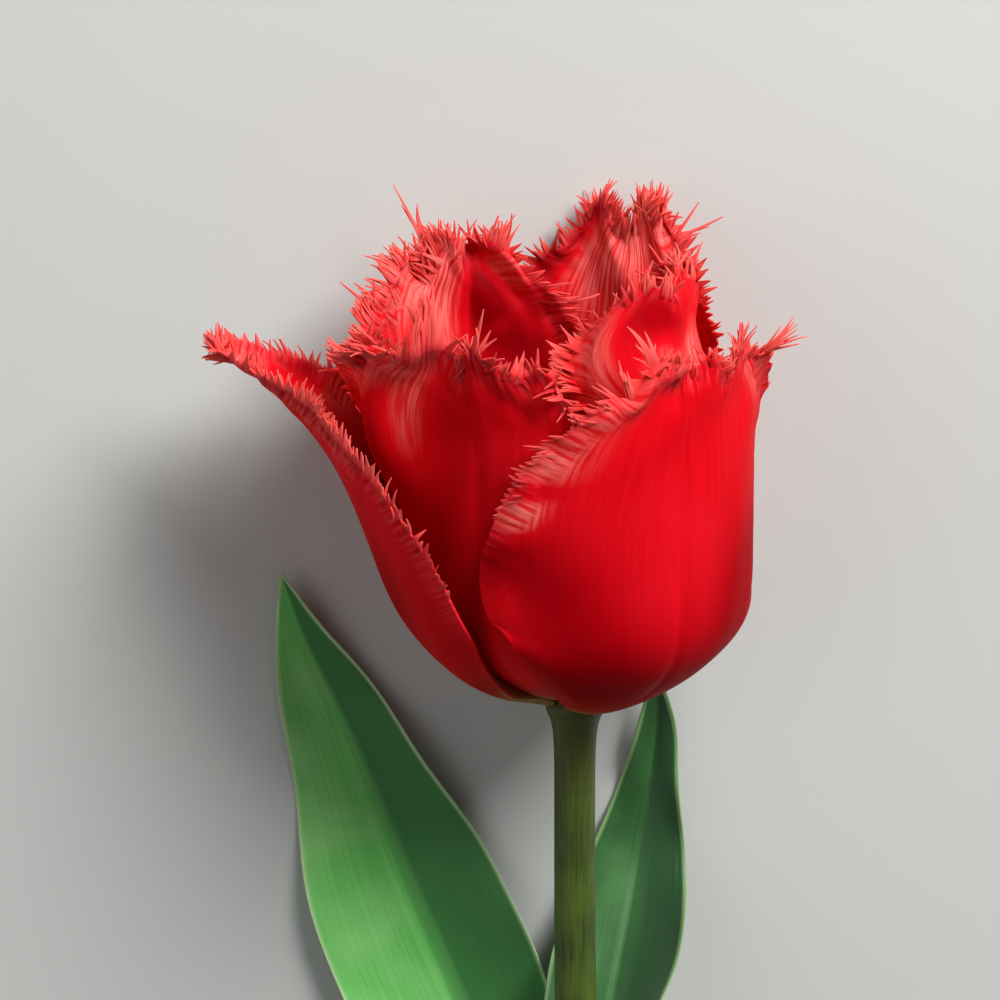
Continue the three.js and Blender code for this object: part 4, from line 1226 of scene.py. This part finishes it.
def build_leaf(name, leaf):
    piece, u, v = grid_sheet(name + "_veined", LEAF_COLUMNS, LEAF_ROWS)
    set_points(piece, above_the_table(leaf_places(leaf, u, v) * MM))
    _, length = leaf_line(leaf)
    from_margin = np.minimum((1 - np.abs(u)) * along(leaf["half"], v), (1 - v) * length)
    add_number(piece, "rim", smooth(0.9, 0.1, from_margin))
    add_number(piece, "height", v)
    drop_maps(piece)
    add_map(piece, "veins", u * max(leaf["half"]), v * length)
    thin = np.maximum(np.abs(u) ** 6, smooth(0.92, 1, v))
    give_thickness(piece, LEAF_THICKNESS, thin)
    lifted = get_points(piece)
    lifted[:, 2] = np.maximum(lifted[:, 2], LEAF_CLEARANCE)
    set_points(piece, lifted)
    bpy.ops.object.shade_smooth_by_angle(angle=math.radians(60))
    return piece


leaves = {name: build_leaf(name, leaf) for name, leaf in LEAVES.items()}
print("leaves:", [piece.name for piece in leaves.values()])

# %% [markdown]
# ## Leaf skin
# A tulip's leaf has a coat of wax, which makes its green bluish and matte, and it shows parallel
# veins about a millimetre apart with finer ones between. They could be drawn as even waves, but those
# look ruled, so they are the petals' streaks again, longer and on the leaf's own map. The rim is thin
# and pale. The larger leaf's green is lightened by painted light and the smaller one's is darkened by
# painted shade, and the right half of each gets painted shade and is a deeper green than the left.

# %% Make the leaves' materials
VEIN_SPACING = 0.8  # mm
VEIN_LENGTH = 60  # mm
# The left leaf's greens are lightened by painted light and the right leaf's darkened by painted shade.
LEAF_COLOURS = {  # the green's name, then ground, veins, clouds, right half, rim and base
    "leaf_left": ("leaf_green_painted_light", ("5cb854", "76cc66", "9cda86", "2c6c34", "c0dca4", "7d9a4c")),
    "leaf_right": ("leaf_green_painted_shade", ("224e22", "2c6028", "447e40", "1c4420", "84a86c", "5c7a34")),
}


def leaf_material(name, colours):
    material, tree, shader = new_material(
        name, Roughness=0.5, IOR=1.42, Subsurface_Weight=0.06, Subsurface_Scale=0.002,
        Subsurface_Radius=(0.4, 1.0, 0.3), Sheen_Weight=0.15, Sheen_Roughness=0.5)
    veins = add_node(tree, "UVMap", {"uv_map": "veins"}).outputs[0]
    lines = streaks_along(tree, veins, VEIN_SPACING, VEIN_LENGTH, roughness=0.6)
    where = add_node(tree, "TexCoord").outputs["Object"]
    clouds = add_node(tree, "TexNoise", inputs={0: where, "Scale": 0.06 / MM, "Detail": 3.0}).outputs[0]
    across = add_node(tree, "SeparateXYZ", inputs={0: veins}).outputs["X"]
    rim, height = (add_node(tree, "Attribute", {"attribute_name": number}).outputs["Fac"]
                   for number in ("rim", "height"))
    # The right-half coat is painted shade: a deeper green than the left half.
    spreads = [(lines, 0.36, 0.66, 0.2, 0.8), (clouds, 0.42, 0.72, 0.0, 0.6), (across, -0.5, 3, 0.0, 0.85),
               (rim, 0.2, 0.9, 0.0, 0.8), (height, 0.02, 0.18, 0.8, 0.0)]
    coats = [(colour, *spread) for colour, spread in zip(colours[1:], spreads)]
    bump = add_node(tree, "Bump", inputs={"Strength": 0.5, "Distance": 0.15 * MM, "Height": lines})
    cover(tree, shader, lay_coats(tree, colours[0], coats), bump)
    return material


for name, piece in leaves.items():
    green, colours = LEAF_COLOURS[name]
    for slot, face in enumerate(("upper", "under")):
        piece.data.materials[slot] = leaf_material(f"{green}_{face}_face_waxed", colours)
    print(name, "is covered with", green)

# %% [markdown]
# ## The pistil
# In the middle of the bloom stands a three-sided green ovary with a stigma of three folded lobes on
# top. A disc is extruded through rings as the stem was, and the rings are then pressed in at
# three places round them. One level of subdivision rounds what is left of the steps.

# %% Build the pistil
# Rise and radius of each ring in mm, and how deep it is pressed in, as a share of the radius.
PISTIL = [(3.9, 1.9, 0.06), (6, 2.3, 0.1), (11, 2.8, 0.14), (17, 2.6, 0.14), (20.4, 2.1, 0.12),
          (21.2, 3, 0.3), (22.4, 4.3, 0.42), (23.5, 3.9, 0.42), (23.7, 2.4, 0.3), (23, 0.9, 0.1)]
PISTIL_SIDES = 36
STAND_UP = Matrix.Rotation(math.radians(-90), 4, "X")  # turns up into the bloom's own Y


def upright_rings(rings):
    return [(Vector((0, 0, rise)) * MM, radius * MM) for rise, radius, *_ in rings]


pistil = extruded_through("pistil_lobed", upright_rings(PISTIL), PISTIL_SIDES)
places = get_points(pistil)
for place in places:
    rise, radius, dent = min(PISTIL, key=lambda ring: abs(ring[0] * MM - place[2])
                             + abs(ring[1] * MM - math.hypot(place[0], place[1])))
    angle = math.atan2(place[1], place[0])
    place[:2] *= 1 - dent * (0.5 - 0.5 * math.cos(3 * angle))
set_points(pistil, places)
pistil.data.transform(BLOOM @ STAND_UP)
round_off(pistil)
bpy.ops.object.shade_smooth()
print(pistil.name, "has", len(pistil.data.polygons), "faces")

# %% [markdown]
# ## Ovary and stigma
# The ovary is smooth and waxy, pale green. The stigma is covered with tiny knobs that catch pollen, so
# it looks velvety and yellowish, without gloss. Modelled knobs would cost thousands of faces, so they are
# bumps. They are finer than 0.1 mm, too fine to show, and are drawn 0.3 mm wide.

# %% Make the pistil's materials
STIGMA_FROM = 20.9  # mm above the petals' foot

ovary_skin = spotted_material(
    "ovary_skin_waxy", "TexNoise", {"Scale": 0.3 / MM, "Detail": 2.0}, ("a4ae5c", "c6cc80"), (0.35, 0.7),
    Roughness=0.45, IOR=1.42, Subsurface_Weight=0.15, Subsurface_Scale=0.002,
    Subsurface_Radius=(0.8, 1.0, 0.4))
stigma_velvet = spotted_material(
    "stigma_velvety", "TexVoronoi", {"Scale": 3 / MM}, ("e6dc9a", "b8a850"), relief=(0.8, 0.15),
    Roughness=0.85, IOR=1.4, Sheen_Weight=0.4)
pistil.data.materials.append(ovary_skin)
pistil.data.materials.append(stigma_velvet)
into_bloom = BLOOM.inverted()
for face in pistil.data.polygons:
    face.material_index = int((into_bloom @ face.center).y > STIGMA_FROM * MM)
print("stigma faces:", sum(face.material_index for face in pistil.data.polygons))

# %% [markdown]
# ## The stamens
# Six stamens stand round the pistil. Each has a short dark filament that tapers upwards and carries
# a long anther with a furrow down each side, dusty with dark pollen. One filament and one anther are
# modelled and copied, each copy with its own mesh, leaned and turned to its place.

# %% Build the stamens
FILAMENT = [(0, 0.75), (3, 0.7), (7, 0.58), (9, 0.42), (9.8, 0.34)]  # rise and radius of each ring
FILAMENT_SIDES = 12
ANTHER_FROM, ANTHER_TO = 9.4, 18.8
ANTHER_WIDTH, ANTHER_DEPTH = 1.45, 1.15
STAMEN_RING, STAMEN_RISE = 3, 4
STAMEN_LEAN, STAMEN_SEED = 14, 90

filament = extruded_through("filament", upright_rings(FILAMENT), FILAMENT_SIDES)
bpy.ops.object.shade_smooth_by_angle(angle=math.radians(50))

fresh_start()
bpy.ops.mesh.primitive_uv_sphere_add(segments=24, ring_count=20, radius=1)
anther = bpy.context.object
bpy.ops.object.mode_set(mode="EDIT")
bpy.ops.mesh.select_all(action="SELECT")
bpy.ops.transform.resize(value=(ANTHER_DEPTH * MM, ANTHER_WIDTH * MM, (ANTHER_TO - ANTHER_FROM) / 2 * MM),
                         center_override=(0, 0, 0))
bpy.ops.transform.translate(value=(0, 0, (ANTHER_TO + ANTHER_FROM) / 2 * MM))
bpy.ops.object.mode_set(mode="OBJECT")
shaped = get_points(anther)
angles = np.arctan2(shaped[:, 1] / ANTHER_WIDTH, shaped[:, 0] / ANTHER_DEPTH)
furrow = 1 - 0.32 * np.exp(-((np.abs(angles) - np.pi / 2) / 0.22) ** 2) - 0.16 * np.exp(-(angles / 0.3) ** 2)
shaped[:, :2] *= furrow[:, None]
set_points(anther, shaped)
bpy.ops.object.shade_smooth()

draw = np.random.default_rng(STAMEN_SEED)
stamens = {}
for number in range(1, 7):
    lean = math.radians(STAMEN_LEAN + draw.uniform(-2, 2))
    azimuth = math.radians(number * 60 + 25)
    base = Matrix.Translation((STAMEN_RING * MM, STAMEN_RISE * MM, 0))
    place = BLOOM @ Matrix.Rotation(-azimuth, 4, "Y") @ base @ Matrix.Rotation(-lean, 4, "Z") @ STAND_UP
    parts = []
    for model, part in ((filament, "filament"), (anther, "anther")):
        copy = bpy.data.objects.new(f"stamen_{number}_{part}", model.data.copy())
        copy.data.transform(place)
        bpy.context.scene.collection.objects.link(copy)
        parts.append(copy)
    stamens[f"stamen_{number}"] = parts
for model in (filament, anther):
    bpy.data.objects.remove(model)
print("stamens:", ", ".join(stamens))

# %% [markdown]
# ## Filament and pollen
# The filament is smooth tissue, nearly black with a purple tinge. The anther's skin is hidden under
# pollen. Its grains could be scattered as mesh, but they are far too fine to see singly, so they are
# bumps and spots, drawn 0.25 mm wide: matte and rough.

# %% Make the stamens' materials
filament_skin, _, _ = new_material("filament_satin", Base_Color=linear("3a2440"), Roughness=0.45, IOR=1.4)
anther_pollen = spotted_material(
    "anther_pollen_dusty", "TexVoronoi", {"Scale": 4 / MM}, ("5a4668", "241628"), relief=(0.9, 0.12),
    Roughness=0.9, IOR=1.4, Sheen_Weight=0.3)
for thin_part, thick_part in stamens.values():
    thin_part.data.materials.append(filament_skin)
    thick_part.data.materials.append(anther_pollen)
print("stamen materials:", filament_skin.name, anther_pollen.name)

# %% [markdown]
# ## Every piece on its body
# The flower is one body, and each piece here stands for the solid of the same name.

# %% Tie the pieces to the solids
def stands_for(piece, node):
    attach(piece, "root")
    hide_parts(node)


for name, piece in petals.items():
    stands_for(piece, name)
for name, piece in leaves.items():
    stands_for(piece, name)
stands_for(stem, "stem")
stands_for(pistil, "pistil")
for name, parts in stamens.items():
    for part in parts:
        stands_for(part, name)
print("dressed:", len(petals) + len(leaves) + 2 + 2 * len(stamens), "pieces")

# %% [markdown]
# ## Table and light
# A plain pale table and soft light show the flower as it is. One large lamp stands to the upper
# right, where the brighter side of the petals looks, a weaker one to the left opens the shadows, a
# faint one shines from beyond the stem's end, and a pale sky fills the rest. A picture of a sky could
# light it too, but it is a file. The standard view keeps the red as saturated as on a fresh petal.

# %% Set the stage
TABLE_SIZE = 4  # metres
TABLE_DROP = 0.1 * MM  # so that the flower's underside and the table are not in one plane
LAMPS = {  # place and size in metres, power in watts
    "key_lamp": ((0.5, 0.77, 0.63), 0.55, 20),
    "fill_lamp": ((-0.8, 0.1, 0.7), 0.9, 2),
    "far_lamp": ((-0.1, -0.9, 0.8), 0.9, 0.2),
}

fresh_start()
bpy.ops.mesh.primitive_plane_add(size=TABLE_SIZE, location=(0, 0, -TABLE_DROP))
table = bpy.context.object
table.name = "table_top"
table_paint, _, _ = new_material("table_painted_matte", Base_Color=linear("c6c7c3"), Roughness=0.7)
table.data.materials.append(table_paint)

scene = bpy.context.scene
scene.view_settings.view_transform = "Standard"
scene.world = bpy.data.worlds.new("pale_sky")
scene.world.use_nodes = True
sky = scene.world.node_tree.nodes["Background"]
sky.inputs["Color"].default_value = linear("eef2f6")
sky.inputs["Strength"].default_value = 0.15

for name, (place, size, power) in LAMPS.items():
    light = bpy.data.lights.new(name, "AREA")
    light.size = size
    light.energy = power
    lamp = bpy.data.objects.new(name, light)
    lamp.location = place
    lamp.rotation_euler = (middle - Vector(place)).to_track_quat("-Z", "Y").to_euler()
    scene.collection.objects.link(lamp)
print("lamps:", ", ".join(LAMPS))
